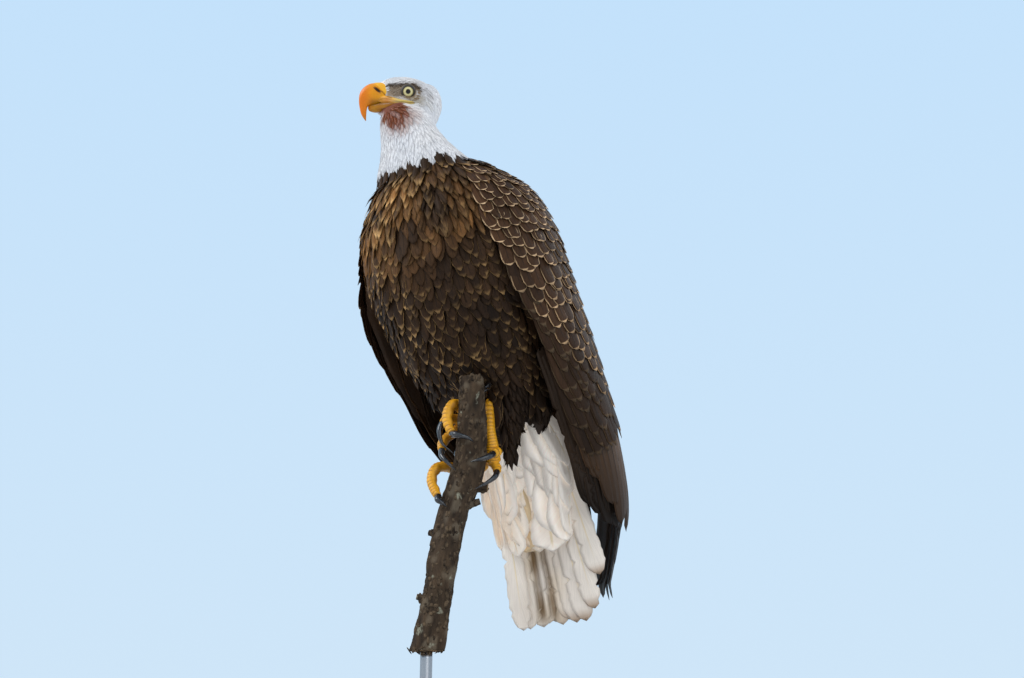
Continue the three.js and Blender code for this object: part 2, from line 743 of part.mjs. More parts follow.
// Toes run from the ball of the foot round the branch: turn, z and lift for each point.
// The claw carries on from the toe's last point.
const TOES = {
  left: [
    {
      toe: [[58, 416, 9], [42, 415, 14], [22, 410, 11]],
      claw: [[0, 403, 12], [338, 398, 8], [318, 396, 1]],
      thick: 8,
    },
    {
      toe: [[62, 404, 9], [52, 396, 16], [42, 388, 17]],
      claw: [[26, 378, 17], [12, 368, 11], [0, 361, 1]],
      thick: 7.5,
    },
    {
      toe: [
        [85, 402, 11],
        [120, 400, 14],
        [155, 399, 16],
        [190, 399, 20],
        [211, 391, 23],
        [220, 376, 21],
        [232, 361, 13],
        [246, 351, 7],
      ],
      claw: [[260, 345, 10], [274, 340, 7], [285, 336, 1]],
      thick: 8.5,
    },
    {
      toe: [[92, 412, 12], [122, 424, 14], [144, 427, 9]],
      claw: [[162, 424, 12], [176, 416, 9], [186, 408, 1]],
      thick: 8,
    },
  ],
  right: [
    {
      toe: [[152, 474, 12], [176, 482, 11], [198, 479, 12], [219, 466, 15], [231, 451, 14], [247, 436, 9]],
      claw: [[275, 431, 14], [303, 426, 10], [322, 422, 1]],
      thick: 8.5,
    },
    {
      toe: [[158, 464, 12], [188, 464, 20], [212, 455, 21]],
      claw: [[222, 442, 24], [229, 425, 19], [238, 411, 3]],
      thick: 8,
    },
    {
      toe: [[158, 456, 12], [180, 444, 18], [203, 430, 21], [221, 417, 18]],
      claw: [[240, 405, 17], [260, 394, 11], [274, 385, 1]],
      thick: 8,
    },
    {
      toe: [[142, 474, 12], [126, 490, 15], [108, 500, 10]],
      claw: [[88, 506, 13], [66, 506, 9], [50, 500, 1]],
      thick: 8.5,
    },
  ],
};
const beside = (steps) => steps.map((step) => besideBranch(...step));
function toeSolid({ toe, thick }, grow) {
  const radii = [thick, thick * 0.92, thick * 0.86, thick * 0.74];
  const rings = toe.length > 4 ? 9 : 5;
  return loftSolid(limbRings(beside(toe), radii, rings, 6, grow));
}
function clawSolid({ toe, claw, thick }, grow) {
  const points = beside([toe.at(-1), ...claw]);
  const radii = [thick * 0.66, thick * 0.52, thick * 0.3, 0.6];
  return loftSolid(limbRings(points, radii, 5, 6, grow));
}

// ---------- assembly ----------

const eagle = new THREE.Group();
eagle.add(headGroup);
eagle.updateMatrixWorld(true);
const earlier = [];

/** Whether two solids' boxes meet. */
function boxesMeet(one, other) {
  const a = one.boundingBox();
  const b = other.boundingBox();
  return [0, 1, 2].every((k) => a.min[k] < b.max[k] && b.min[k] < a.max[k]);
}

/** Adds one body to a group. `make` gives its solid there, swollen by any amount. */
function place(name, make, colour, roughness = 0.8, group = eagle) {
  const toWorld = group.matrixWorld;
  const whole = make(0).transform(toWorld.elements);
  const near = earlier.filter((other) => boxesMeet(whole, other));
  const piece = largest(cutBy(whole, near));
  const local = piece.transform(toWorld.clone().invert().elements);
  const material = new THREE.MeshStandardMaterial({
    color: colour,
    roughness,
    metalness: colour === COLOUR.steel ? 0.9 : 0,
  });
  const mesh = new THREE.Mesh(geometryOf(local), material);
  mesh.name = name;
  group.add(mesh);
  earlier.push(make(GAP).transform(toWorld.elements));
}

// Stand and perch
const foot = BRANCH[0];
place(
  "stand_base",
  (grow) => {
    const { radius, thickness, chamfer } = BASE;
    const profile = [
      new THREE.Vector2(0, 0),
      new THREE.Vector2(radius + grow, 0),
      new THREE.Vector2(radius + grow, thickness - chamfer),
      new THREE.Vector2(radius - chamfer, thickness + grow),
      new THREE.Vector2(0, thickness + grow),
    ];
    return solid(new THREE.LatheGeometry(profile, 36).rotateX(Math.PI / 2));
  },
  COLOUR.base,
  0.4,
);
place("perch_branch", perchSolid, COLOUR.bark, 0.9);
place(
  "stand_rod",
  (grow) => {
    const length = foot.z + ROD.sink - BASE.thickness;
    const rod = new THREE.CylinderGeometry(
      ROD.radius + grow,
      ROD.radius + grow,
      length,
      16,
    );
    rod.rotateX(Math.PI / 2);
    return solid(rod.translate(foot.x, foot.y, BASE.thickness + length / 2));
  },
  COLOUR.steel,
  0.3,
);

/** A ridge bowed out from one side of the head, from the front to the back of its line. */
function ridgeSolid({ from, to, radii, bulge = 0 }, sign, rise, grow) {
  const [x0, y0, z0] = from;
  const [x1, y1, z1] = to;
  const points = [0, 1 / 3, 2 / 3, 1].map((f) =>
    vec(
      x0 + (x1 - x0) * f,
      sign * (y0 + (y1 - y0) * Math.sin((f * Math.PI) / 2) + bulge * Math.sin(f * Math.PI)),
      z0 + (z1 - z0) * f + rise * Math.sin(f * Math.PI),
    ),
  );
  return loftSolid(limbRings(points, radii, 5, 6, grow));
}

// Head: the eyes and the bill first, so that the feathered head closes round them
const headSolid = (grow) =>
  joined([
    loftSolid(headRings(HEAD, 9, 13, grow)),
    ridgeSolid(BROW, 1, 2, grow),
    ridgeSolid(BROW, -1, 2, grow),
  ]);
const eyeSolid = (sign, grow) => {
  const ball = new THREE.SphereGeometry(EYE_RADIUS + grow, 10, 7);
  return solid(ball.translate(EYE.x, sign * EYE.y, EYE.z));
};
const cereSolid = (grow) =>
  joined([
    billSolid(0, 0.13, 2, grow),
    ridgeSolid(GAPE, 1, 0, grow),
    ridgeSolid(GAPE, -1, 0, grow),
  ]);
const upperBillSolid = (grow) => billSolid(0.13, 1, 9, grow);
const lowerBillSolid = (grow) => loftSolid(headRings(LOWER_BILL, 6, 8, grow, 1));
for (const { name, sign } of SIDES) {
  const eye = (grow) => eyeSolid(sign, grow);
  place("eye_" + name, eye, COLOUR.eye, 0.1, headGroup);
}
place("cere", cereSolid, COLOUR.cere, 0.45, headGroup);
place("bill_upper", upperBillSolid, COLOUR.bill, 0.35, headGroup);
place("bill_lower", lowerBillSolid, COLOUR.bill, 0.4, headGroup);
place("head", headSolid, COLOUR.white, 0.8, headGroup);
place("neck", neckSolid, COLOUR.white);

// Legs and feet
for (const { name } of SIDES) {
  place("shank_" + name, (grow) => shankSolid(name, grow), COLOUR.skin, 0.5);
}
for (const { name } of SIDES) {
  TOES[name].forEach((toe, i) => {
    place(
      `toe_${name}_${i + 1}`,
      (grow) => toeSolid(toe, grow),
      COLOUR.skin,
      0.5,
    );
  });
}
for (const { name } of SIDES) {
  TOES[name].forEach((toe, i) => {
    place(
      `claw_${name}_${i + 1}`,
      (grow) => clawSolid(toe, grow),
      COLOUR.claw,
      0.3,
    );
  });
}

// Trunk, thighs and tail
place("trunk", trunkSolid, COLOUR.brown);
for (const { name, sign } of SIDES) {
  const thigh = (grow) => thighSolid(name, sign, grow);
  place("thigh_" + name, thigh, COLOUR.darkBrown);
}
place("tail_feathers", tailFan, COLOUR.white);
place(
  "tail_coverts_under",
  (grow) => loftSolid(bodyRings(UNDERTAIL, 6, 11, grow, TAIL_TURN)),
  COLOUR.white,
);
place(
  "tail_coverts_upper",
  (grow) => loftSolid(bodyRings(UPPERTAIL, 5, 10, grow, TAIL_TURN)),
  COLOUR.white,
);

// Wings
for (const { name, sign } of SIDES) {
  place(`wing_${name}_coverts`, (grow) => wingArm(sign, grow), COLOUR.brown);
  place(
    `wing_${name}_secondaries`,
    (grow) => wingFeathers(sign, SECONDARIES, grow),
    COLOUR.darkBrown,
  );
  place(
    `wing_${name}_primaries`,
    (grow) => wingFeathers(sign, PRIMARIES, grow),
    COLOUR.darkBrown,
  );
}

export default eagle;
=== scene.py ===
import math
from functools import partial
from itertools import product

import bmesh
import bpy
import numpy as np
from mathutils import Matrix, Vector
from mathutils.bvhtree import BVHTree


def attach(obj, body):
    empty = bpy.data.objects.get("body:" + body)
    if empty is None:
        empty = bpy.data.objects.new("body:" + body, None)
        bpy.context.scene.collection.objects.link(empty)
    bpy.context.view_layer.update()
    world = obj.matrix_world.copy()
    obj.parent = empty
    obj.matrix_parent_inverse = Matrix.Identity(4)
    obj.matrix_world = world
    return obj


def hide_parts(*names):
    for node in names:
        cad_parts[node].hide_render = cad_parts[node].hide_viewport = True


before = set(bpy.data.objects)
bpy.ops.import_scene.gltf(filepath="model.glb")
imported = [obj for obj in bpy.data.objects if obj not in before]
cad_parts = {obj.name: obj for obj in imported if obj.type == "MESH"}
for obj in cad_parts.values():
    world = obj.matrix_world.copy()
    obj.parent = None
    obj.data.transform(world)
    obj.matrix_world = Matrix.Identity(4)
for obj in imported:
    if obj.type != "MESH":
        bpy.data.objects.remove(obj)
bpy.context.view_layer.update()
scene = bpy.context.scene
mm = 0.001


def unit(v):
    return v / np.maximum(np.linalg.norm(v, axis=-1, keepdims=True), 1e-12)


def dot(a, b):
    return (a * b).sum(-1, keepdims=True)


def ease(low, high, x):  # 0 below low, 1 above high, smooth between
    t = np.clip((x - low) / (high - low), 0, 1)
    return t * t * (3 - 2 * t)


def over(colour, other, share):  # the other colour laid over this one, by a share at each point
    return colour + (other - colour) * np.asarray(share)[..., None]


def around(sides):  # the angles of a section's corners
    return np.arange(sides) * 2 * math.pi / sides


def stationAt(table, t):  # smooth values between the evenly spaced rows of a table
    table = np.asarray(table, float)
    last = len(table) - 1
    place = np.clip(np.asarray(t, float), 0, 1) * last
    i = np.minimum(np.floor(place).astype(int), last - 1)
    f = (place - i)[..., None]
    a, b, c, d = [table[np.clip(i + k, 0, last)] for k in (-1, 0, 1, 2)]
    slopeB, slopeC = (c - a) / 2, (d - b) / 2
    cubic = 2 * b - 2 * c + slopeB + slopeC
    square = 3 * c - 3 * b - 2 * slopeB - slopeC
    return ((cubic * f + square) * f + slopeB) * f + b


def turned(axis, degrees):  # a rotation matrix about x, y or z
    a = math.radians(degrees)
    c, s = math.cos(a), math.sin(a)
    return np.array({
        "x": [[1, 0, 0], [0, c, -s], [0, s, c]],
        "y": [[c, 0, s], [0, 1, 0], [-s, 0, c]],
        "z": [[c, -s, 0], [s, c, 0], [0, 0, 1]],
    }[axis])


def paint(red, green, blue):  # a colour as a paint chart gives it, made linear
    v = np.array([red, green, blue]) / 255
    return np.where(v > 0.04045, ((v + 0.055) / 1.055) ** 2.4, v / 12.92)


waveSource = np.random.default_rng(5)
waveWays = waveSource.normal(size=(9, 3))
waveStarts = waveSource.uniform(0, 2 * math.pi, 9)


def drift(points, size, shift=0.0):  # a slow wander over space, about -1 to 1
    angles = np.asarray(points) @ waveWays.T / size + waveStarts * (1 + shift)
    return np.sin(angles).mean(-1) * 1.8


def patches(middle, swing, points, size):  # a share from 0 to 1 that wanders over space
    return np.clip(middle + swing * drift(points, size), 0, 1)


markKinds = {  # what the corners of a piece can carry
    "tint": ("FLOAT_COLOR", "color"), "rim": ("FLOAT_COLOR", "color"), "cut": ("FLOAT", "value"),
    "vane": ("FLOAT_VECTOR", "vector"), "spoke": ("FLOAT_VECTOR", "vector"),
}


def markCorners(mesh, name, values):
    kind, key = markKinds[name]
    values = np.asarray(values, np.float32)
    if key == "color":
        values = np.concatenate([np.clip(values, 0, 1), np.ones((len(values), 1), np.float32)], 1)
    mesh.attributes.new(name, kind, "POINT").data.foreach_set(key, values.ravel())


def makePiece(name, points, faces, uv=None, **marks):
    # faces is a list of arrays, each with one number of corners to a face
    mesh = bpy.data.meshes.new(name)
    points = np.asarray(points, np.float32).reshape(-1, 3)
    corners = np.concatenate([np.asarray(f).ravel() for f in faces]).astype(np.int32)
    sizes = np.concatenate([np.full(len(f), np.shape(f)[1]) for f in faces])
    mesh.vertices.add(len(points))
    mesh.vertices.foreach_set("co", points.ravel())
    mesh.loops.add(len(corners))
    mesh.loops.foreach_set("vertex_index", corners)
    mesh.polygons.add(len(sizes))
    starts = np.concatenate([[0], np.cumsum(sizes)[:-1]]).astype(np.int32)
    mesh.polygons.foreach_set("loop_start", starts)
    mesh.polygons.foreach_set("use_smooth", np.ones(len(sizes), bool))
    for key, values in marks.items():
        markCorners(mesh, key, values)
    if uv is not None:
        layer = mesh.uv_layers.new(name="OFBake")
        layer.data.foreach_set("uv", np.asarray(uv, np.float32).reshape(-1, 2)[corners].ravel())
    mesh.update(calc_edges=True)
    piece = bpy.data.objects.new(name, mesh)
    scene.collection.objects.link(piece)
    return piece


def finishPiece(piece, shader, slot, *nodes):
    piece.data.materials.clear()
    piece.data.materials.append(shader.material)
    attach(piece, "root")
    if nodes:
        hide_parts(*nodes)


def ringQuads(count, sides, closed=False):  # faces between rings; closed joins the last to the first
    i, j = np.meshgrid(np.arange(count - 1 + closed), np.arange(sides), indexing="ij")
    k, m = (j + 1) % sides, (i + 1) % count
    return np.stack([i * sides + j, i * sides + k, m * sides + k, m * sides + j], -1).reshape(-1, 4)


def capped(rings, poles=None):  # rings as one closed shell, with a pole at each end
    count, sides = rings.shape[:2]
    poles = rings[[0, -1]].mean(1) if poles is None else poles
    j = np.arange(sides)
    k, pole, last = (j + 1) % sides, count * sides, (count - 1) * sides
    fans = [np.stack([0 * j + pole, k, j], -1), np.stack([0 * j + pole + 1, last + j, last + k], -1)]
    return np.concatenate([rings.reshape(-1, 3), poles]), ringQuads(count, sides), np.concatenate(fans)


def tube(points, radii, outwards, sides):  # rings round a path, with the first side on the outward one
    points = np.asarray(points, float)
    outwards = np.broadcast_to(np.asarray(outwards, float), points.shape)
    along = unit(np.gradient(points, axis=0))
    up = unit(outwards - along * dot(along, outwards))
    side = np.cross(along, up)
    a = around(sides)[None, :, None]
    radii = np.asarray(radii, float).reshape(len(points), -1, 1)
    rings = points[:, None] + radii * (np.cos(a) * up[:, None] + np.sin(a) * side[:, None])
    return capped(rings, points[[0, -1]])


def facedOut(verts, quads, tris):  # turns a closed shell over if its faces point inwards
    corners = np.concatenate([quads[:, :3], quads[:, [0, 2, 3]], tris])
    a, b, c = ((verts - verts.mean(0))[corners[:, k]] for k in range(3))
    if (a * np.cross(b, c)).sum() < 0:
        quads, tris = quads[:, ::-1], tris[:, ::-1]
    return verts, quads, tris


def joinParts(parts):  # several (points, quads, triangles) as one
    bases = np.cumsum([0] + [len(part[0]) for part in parts])
    moved = [(v, q + base, t + base) for (v, q, t), base in zip(parts, bases)]
    return tuple(np.concatenate(arrays) for arrays in zip(*moved))


class Value:  # a socket that takes part in sums
    def __init__(self, nodes, socket):
        self.nodes, self.socket = nodes, socket

    def sum(self, operation, *others):
        numbers = dict(enumerate((self, *others)))
        return self.nodes.add("ShaderNodeMath", {"operation": operation}, numbers)

    def __add__(self, other):
        return self.sum("ADD", other)

    def __sub__(self, other):
        return self.sum("SUBTRACT", other)

    def __rsub__(self, other):
        return self.sum("MULTIPLY_ADD", -1.0, other)

    def __mul__(self, other):
        return self.sum("MULTIPLY", other)

    __radd__, __rmul__ = __add__, __mul__

    def size(self):
        return self.sum("ABSOLUTE")

    def most(self, other):
        return self.sum("MAXIMUM", other)

    def between(self, low, high):  # 0 below low, 1 above high, smooth between
        inputs = {"Value": self, "From Min": low, "From Max": high}
        return self.nodes.add("ShaderNodeMapRange", {"interpolation_type": "SMOOTHSTEP"}, inputs)

    def beside(self, output):  # another output of the same node
        return Value(self.nodes, self.socket.node.outputs[output])


class Nodes:  # a node tree of any kind
    def __init__(self, tree):
        self.tree = tree
        tree.nodes.clear()

    def add(self, kind, settings=None, inputs=None, output=0):
        node = self.tree.nodes.new(kind)
        for key, value in (settings or {}).items():
            if key == "stops":
                ramp = node.color_ramp.elements
                while len(ramp) < len(value):
                    ramp.new(0.5)
                for stop, (place, colour) in zip(ramp, value):
                    stop.position, stop.color = place, (*colour, 1)
            else:
                setattr(node, key, value)
        for key, value in (inputs or {}).items():
            self.feed(node.inputs[key], value)
        return Value(self, node.outputs[output]) if node.outputs else None

    def feed(self, socket, value):
        if isinstance(value, Value):
            self.tree.links.new(value.socket, socket)
        elif socket.type == "RGBA" and len(value) == 3:
            socket.default_value = (*value, 1)
        else:
            socket.default_value = value

    def mix(self, factor, one, other, how="MIX"):
        settings = {"data_type": "RGBA", "blend_type": how}
        return self.add("ShaderNodeMix", settings, {0: factor, 6: one, 7: other}, 2)

    def shaded(self, colour, shade):  # a colour made lighter or darker by a number
        grey = self.add("ShaderNodeCombineColor", None, {i: shade for i in range(3)})
        return self.mix(1.0, colour, grey, "MULTIPLY")

    def noise(self, where, scale, detail=3.0, rough=0.55):
        inputs = {"Vector": where, "Scale": scale, "Detail": detail, "Roughness": rough}
        return self.add("ShaderNodeTexNoise", None, inputs)

    def place(self, stretch=(1, 1, 1)):
        spot = self.add("ShaderNodeTexCoord", None, None, "Object")
        return self.add("ShaderNodeMapping", None, {"Vector": spot, "Scale": stretch})

    def attribute(self, name, output="Color"):
        return self.add("ShaderNodeAttribute", {"attribute_name": name}, None, output)


class Shader(Nodes):  # one material
    def __init__(self, name, plain, **fixed):
        self.material = bpy.data.materials.new(name)
        self.material.diffuse_color = (*plain, 1)
        self.material.use_nodes = True
        super().__init__(self.material.node_tree)
        surface = self.add("ShaderNodeBsdfPrincipled")
        self.surface = surface.socket.node
        self.add("ShaderNodeOutputMaterial", None, {"Surface": surface})
        self.give(Base_Color=plain, **fixed)

    def give(self, **inputs):
        for key, value in inputs.items():
            self.feed(self.surface.inputs[key.replace("_", " ")], value)

    def bump(self, height, strength, distance):
        inputs = {"Height": height, "Strength": strength, "Distance": distance}
        self.give(Normal=self.add("ShaderNodeBump", None, inputs))

    def tone(self, grain, swing, middle):  # the piece's own tint, lighter and darker with the grain
        colour = self.shaded(self.attribute("tint"), grain * swing + middle)
        self.give(Base_Color=colour)
        return colour


def grained(name, plain, scale, detail=3.0, stretch=(1, 1, 1), tone=(), pair=(), bump=0.0, deep=0.0006, **fixed):
    # a grain that shades the piece's own tint by tone, or runs between a pair of colours
    shader = Shader(name, plain, **fixed)
    grain = shader.noise(shader.place(stretch), scale, detail)
    if tone:
        colour = shader.tone(grain, *tone)
    else:
        low, high, dark, pale = pair
        colour = shader.mix(grain.between(low, high), dark, pale)
        shader.give(Base_Color=colour)
    # with an emission strength the piece glows in its own colour: painted light
    if "Emission_Strength" in fixed:
        shader.give(Emission_Color=colour)
    shader.bump(grain, bump, deep)
    return shader


featherLook = {  # what all feathers share, with the brown ones' own finish
    "rough": 0.65, "gloss": 0.12, "barbs": 30.0, "slant": 0.3, "patchScale": 50.0, "patchy": 0.85, "through": 0.0,
    # lift is an emission strength: painted light, a glow in the vane's own colour that lifts the shadows between
    # feathers
    "lift": 0.0, "rimWide": 0.2, "rimShare": 0.95, "rimFrom": (0.4, 0.75), "tipFade": (0.84, 0.99),
    "shaft": paint(26, 18, 13), "shaftWide": (0.03, 0.1), "shaftEnd": (0.7, 0.95), "shaftShare": 0.6,
    "streak": 0.55, "bump": 0.35, "barbHeight": 0.0006,
}


def featherShader(name, plain, **changes):
    # a vane: its own colour, a paler rim, a shaft, and barbs that slant out to the tip
    look = dict(featherLook, **changes)
    shader = Shader(
        name, plain, Roughness=look["rough"], Specular_IOR_Level=look["gloss"], Subsurface_Weight=look["through"],
        Subsurface_Scale=0.004, Subsurface_Radius=(1, 1, 1), Emission_Strength=look["lift"],
    )
    x = shader.add("ShaderNodeSeparateXYZ", None, {"Vector": shader.attribute("vane", "Vector")})
    y, z, side = x.beside(1), x.beside(2), x.size()
    run = {"X": (y - side * look["slant"]) * look["barbs"], "Y": x * 1.3, "Z": z * 40.0}
    barbs = shader.noise(shader.add("ShaderNodeCombineXYZ", None, run), 1.0, 2.0)
    patch = shader.noise(shader.place(), look["patchScale"], 2.0)
    rim = side.between(1 - look["rimWide"], 1 - look["rimWide"] * 0.3) * y.between(*look["rimFrom"])
    rim = rim.most(y.between(*look["tipFade"]))
    rim = rim * (patch.between(0.3, 0.6) * look["patchy"] + (1 - look["patchy"]))
    shaft = (1 - side.between(*look["shaftWide"])) * (1 - y.between(*look["shaftEnd"]))
    colour = shader.mix(rim * look["rimShare"], shader.attribute("tint"), shader.attribute("rim"))
    colour = shader.mix(shaft * look["shaftShare"], colour, look["shaft"])
    shade = barbs.between(0.25, 0.75) * look["streak"] + (1 - look["streak"] * 0.6)
    colour = shader.shaded(colour, shade * (patch * 0.24 + 0.88))
    shader.give(Base_Color=colour)
    # painted light: with a lift the vane glows in its own colour
    if look["lift"]:
        shader.give(Emission_Color=colour)
    shader.bump(barbs + shaft * 0.8, look["bump"], look["barbHeight"])
    return shader


headPlace = np.array([-12, -152, 939.5]) * mm
headTurn = turned("z", -132) @ turned("y", 2) @ turned("x", -21)


def fromHead(points):  # the head's frame: x out along the bill, y to its left, z up
    return headPlace + np.asarray(points, float) * mm @ headTurn.T


def toHead(points):
    return (np.asarray(points, float) - headPlace) @ headTurn / mm


bill = np.array([  # ridge x and z, cutting edge x and z, half width
    [35.5, 10.8, 22, -19, 17], [46, 10.6, 36, -20.3, 15], [56.5, 8.4, 46.5, -21.3, 12.6],
    [65, 2.2, 54, -22.3, 10], [69.8, -6, 58, -24.5, 7.6], [70.8, -16, 59.3, -29.5, 5.4],
    [69.6, -26, 59.8, -35, 3.6], [66.8, -36, 60, -40.5, 2], [61, -44.8, 60, -44.4, 0.6],
])
lowerBill = np.array([  # x, top, bottom, half width
    [20, -16, -28, 14], [34, -16, -30.5, 12.5], [45, -17, -32.3, 10], [53, -19, -31.3, 6.6], [57.5, -23, -29, 2.6],
])
eyeBall = {"x": 1, "y": 25.5, "z": -3.8, "radius": 12}

cloak = np.array([  # both folded wings: y, z, side, back, front and rear angles
    [-98, 826, 72, 60, -20, 55], [-86, 778, 131, 108, -32, 70], [-55, 714, 155, 139, -30, 78],
    [-25, 644, 161, 145, -24, 82], [19, 574, 159, 141, -25, 84], [72, 502, 153, 130, -30, 82],
    [124, 424, 146, 112, -30, 76], [166, 340, 132, 84, -24, 62], [190, 252, 100, 54, 0, 50],
])
wingForm = {
    "run": 670,  # along a wing, shoulder to tip
    "tuck": (0.6, 0.86), "tuckTurn": 26, "tuckIn": 0.27,  # the right wing's lower half lies closer in
    "droop": 0.075, "droopAt": 0.37, "droopReach": 0.2,  # and its middle hangs out a little
}


def cloakPoint(sign, w, angle, under=0.0):  # in metres; w runs down from the shoulder
    w, angle = np.broadcast_arrays(np.asarray(w, float), np.asarray(angle, float))
    s = stationAt(cloak, w)
    inside = np.clip(w, 0.01, 0.99)
    above, below = stationAt(cloak, inside - 0.01), stationAt(cloak, inside + 0.01)
    along = np.zeros(w.shape + (3,))
    along[..., 1:] = (below - above)[..., :2]
    along = unit(along)
    dorsal = np.stack([0 * w, -along[..., 2], along[..., 1]], -1)
    tuck = ease(*wingForm["tuck"], w) * (sign < 0)
    off = np.minimum(np.abs(w - wingForm["droopAt"]) / wingForm["droopReach"], 1)
    droop = wingForm["droop"] * np.cos(off * math.pi / 2) ** 2 * (sign < 0)
    a = np.radians(angle + wingForm["tuckTurn"] * tuck)
    side = s[..., 2] * (1 - wingForm["tuckIn"] * tuck + droop)
    point = np.stack([0 * w, s[..., 0], s[..., 1]], -1)
    point = point + along * ((w - np.clip(w, 0, 1)) * wingForm["run"])[..., None]
    point = point + np.stack([sign + 0 * w, 0 * w, 0 * w], -1) * (np.cos(a) * (side - under))[..., None]
    point = point + dorsal * (np.sin(a) * (s[..., 3] - under))[..., None]
    return point * mm


tail = {
    "root": np.array([0, 84, 500.0]), "tip": np.array([-9, 190, 200.0]), "count": 12, "rootHalf": 42,
    "tipHalf": (54, 64), "outerSplay": 18, "shorter": (-0.012, 0.22), "arch": 8, "turn": 17,
}
tailDown = tail["tip"] - tail["root"]
tailWay = unit(tailDown)
tailTurn = math.radians(tail["turn"])
tailAcross = np.array([math.cos(tailTurn), math.sin(tailTurn), -0.1])
tailSide = unit(tailAcross - tailWay * (tailWay @ tailAcross))  # to its left, square to its length
bodySlope = ([0.2, 0.44, 0.56, 0.74, 0.83, 0.9], [0.35, 0.42, 0.56, 0.5, 0.28, 0.08])


def lieOf(points):  # the way the coat lies: back from the bill, then down to the tail
    points = np.asarray(points, float)
    z = points[:, 2]
    body = unit(np.stack([0 * z, np.interp(z, *bodySlope), -np.ones_like(z)], -1))
    h = toHead(points)
    drop = 0.25 + 0.9 * ease(-8, -52, h[:, 2]) + 2.2 * ease(-14, -38, h[:, 0])
    onHead = unit(np.stack([-np.ones_like(z), 0 * z, -drop], -1)) @ headTurn.T
    near = ease(80, 42, np.linalg.norm(h - [-6, 0, -18], axis=1))[:, None]
    return unit(body * (1 - near) + onHead * near)


def unwrapAt(points):  # the body's skin laid flat round its upright line, 0 to 1 each way
    points = np.asarray(points, float)
    z = points[:, 2]
    middle = np.interp(z, [0.2, 0.45, 0.62, 0.8, 0.95], [0.185, 0.1, -0.01, -0.115, -0.15])
    u = np.arctan2(points[:, 0], -(points[:, 1] - middle)) / (2 * math.pi) + 0.5
    return np.stack([0.02 + 0.96 * u, 0.02 + 0.96 * (z - 0.18) / 0.8], -1)


skinLook = {
    "voxel": 0.0037,
    "flesh": [
        "head", "neck", "trunk", "thigh_left", "thigh_right", "wing_left_coverts",
        "wing_right_coverts", "tail_coverts_under", "tail_coverts_upper",
    ],
    "core": ["eye_left", "eye_right", "cere"],  # fill the sockets behind the eyes and cere
    "coat": {"neck": 4.2, "trunk": 7, "thigh": 6, "wing": 5, "tail": 4.5},  # how far the skin lies in
    "headCoat": 3.4, "faceLess": 2.2,  # on the head, and how much less on the face
    "brown": paint(62, 48, 37),
}


def readOut(items, key, kind, each=3):  # a value of each item, as rows
    rows = np.empty(len(items) * each, kind)
    items.foreach_get(key, rows)
    return rows.reshape(-1, each)


def meshArrays(mesh):  # corners, their normals, and triangles
    mesh.calc_loop_triangles()
    points = readOut(mesh.vertices, "co", np.float32).astype(float)
    normals = readOut(mesh.vertex_normals, "vector", np.float32).astype(float)
    return points, normals, readOut(mesh.loop_triangles, "vertices", np.int32)


def evaluated(piece):  # the piece's mesh with its modifiers applied
    graph = bpy.context.evaluated_depsgraph_get()
    mesh, old = bpy.data.meshes.new_from_object(piece.evaluated_get(graph)), piece.data
    piece.modifiers.clear()
    piece.data = mesh
    bpy.data.meshes.remove(old)
    return piece


def reworked(mesh, change):
    work = bmesh.new()
    work.from_mesh(mesh)
    change(work)
    work.to_mesh(mesh)
    work.free()


def mergeDoubles(work):
    bmesh.ops.remove_doubles(work, verts=work.verts, dist=1e-6)


def keepLargest(work):  # drops the small closed bubbles that lie inside
    work.verts.ensure_lookup_table()
    seen, best = set(), []
    for start in work.verts:
        if start.index in seen:
            continue
        group, queue = [], [start]
        seen.add(start.index)
        while queue:
            v = queue.pop()
            group.append(v.index)
            for other in (edge.other_vert(v) for edge in v.link_edges):
                if other.index not in seen:
                    seen.add(other.index)
                    queue.append(other)
        best = max(best, group, key=len)
    keep = set(best)
    bmesh.ops.delete(work, geom=[v for v in work.verts if v.index not in keep], context="VERTS")


class Surface:  # a skin to lay feathers on
    def __init__(self, points, normals, tris):
        self.points, self.normals, self.tris = points, normals, tris
        self.tree = BVHTree.FromPolygons(points.tolist(), tris.tolist())

    def nearest(self, points):  # the nearest places on it, and its normals there
        found = [self.tree.find_nearest(p) for p in np.asarray(points).tolist()]
        faces = np.array([f[2] for f in found])
        return np.array([f[0] for f in found]), unit(self.normals[self.tris[faces]].mean(1))


print("skin")
fleshMeshes = [meshArrays(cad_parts[node].data) for node in skinLook["flesh"] + skinLook["core"]]
fleshPoints, fleshTris, _ = joinParts([(points, tris, tris) for points, _, tris in fleshMeshes])
owners = np.repeat(skinLook["flesh"] + ["head"] * len(skinLook["core"]), [len(tris) for _, _, tris in fleshMeshes])
fleshTree = BVHTree.FromPolygons(fleshPoints.tolist(), fleshTris.tolist())
skin = makePiece("skin", fleshPoints, [fleshTris])
reworked(skin.data, mergeDoubles)
remesh = skin.modifiers.new("one body", "REMESH")
remesh.mode, remesh.voxel_size, remesh.use_smooth_shade = "VOXEL", skinLook["voxel"], True
rounding = skin.modifiers.new("rounding", "SMOOTH")
rounding.factor, rounding.iterations = 0.5, 6
evaluated(skin)
reworked(skin.data, keepLargest)
skinPoints, skinNormals, _ = meshArrays(skin.data)
skinOwner = owners[np.array([fleshTree.find_nearest(p)[2] for p in skinPoints.tolist()])]


def onNodes(*names):  # true where the skin belongs to these nodes
    return np.isin(skinOwner, names)


isHead, isNeck = onNodes("head"), onNodes("neck")
headSpot = toHead(skinPoints)
coatOf = {name: skinLook["coat"].get(name.split("_")[0], 0) for name in skinLook["flesh"]}
depth = np.array([coatOf[name] for name in skinOwner.tolist()]) * mm
faceNear = ease(-34, 4, headSpot[:, 0]) * isHead
depth = np.where(isHead, (skinLook["headCoat"] - skinLook["faceLess"] * faceNear) * mm, depth)
edges = readOut(skin.data.edges, "vertices", np.int32, 2)
valence = np.bincount(edges.ravel(), minlength=len(skinPoints))[:, None]


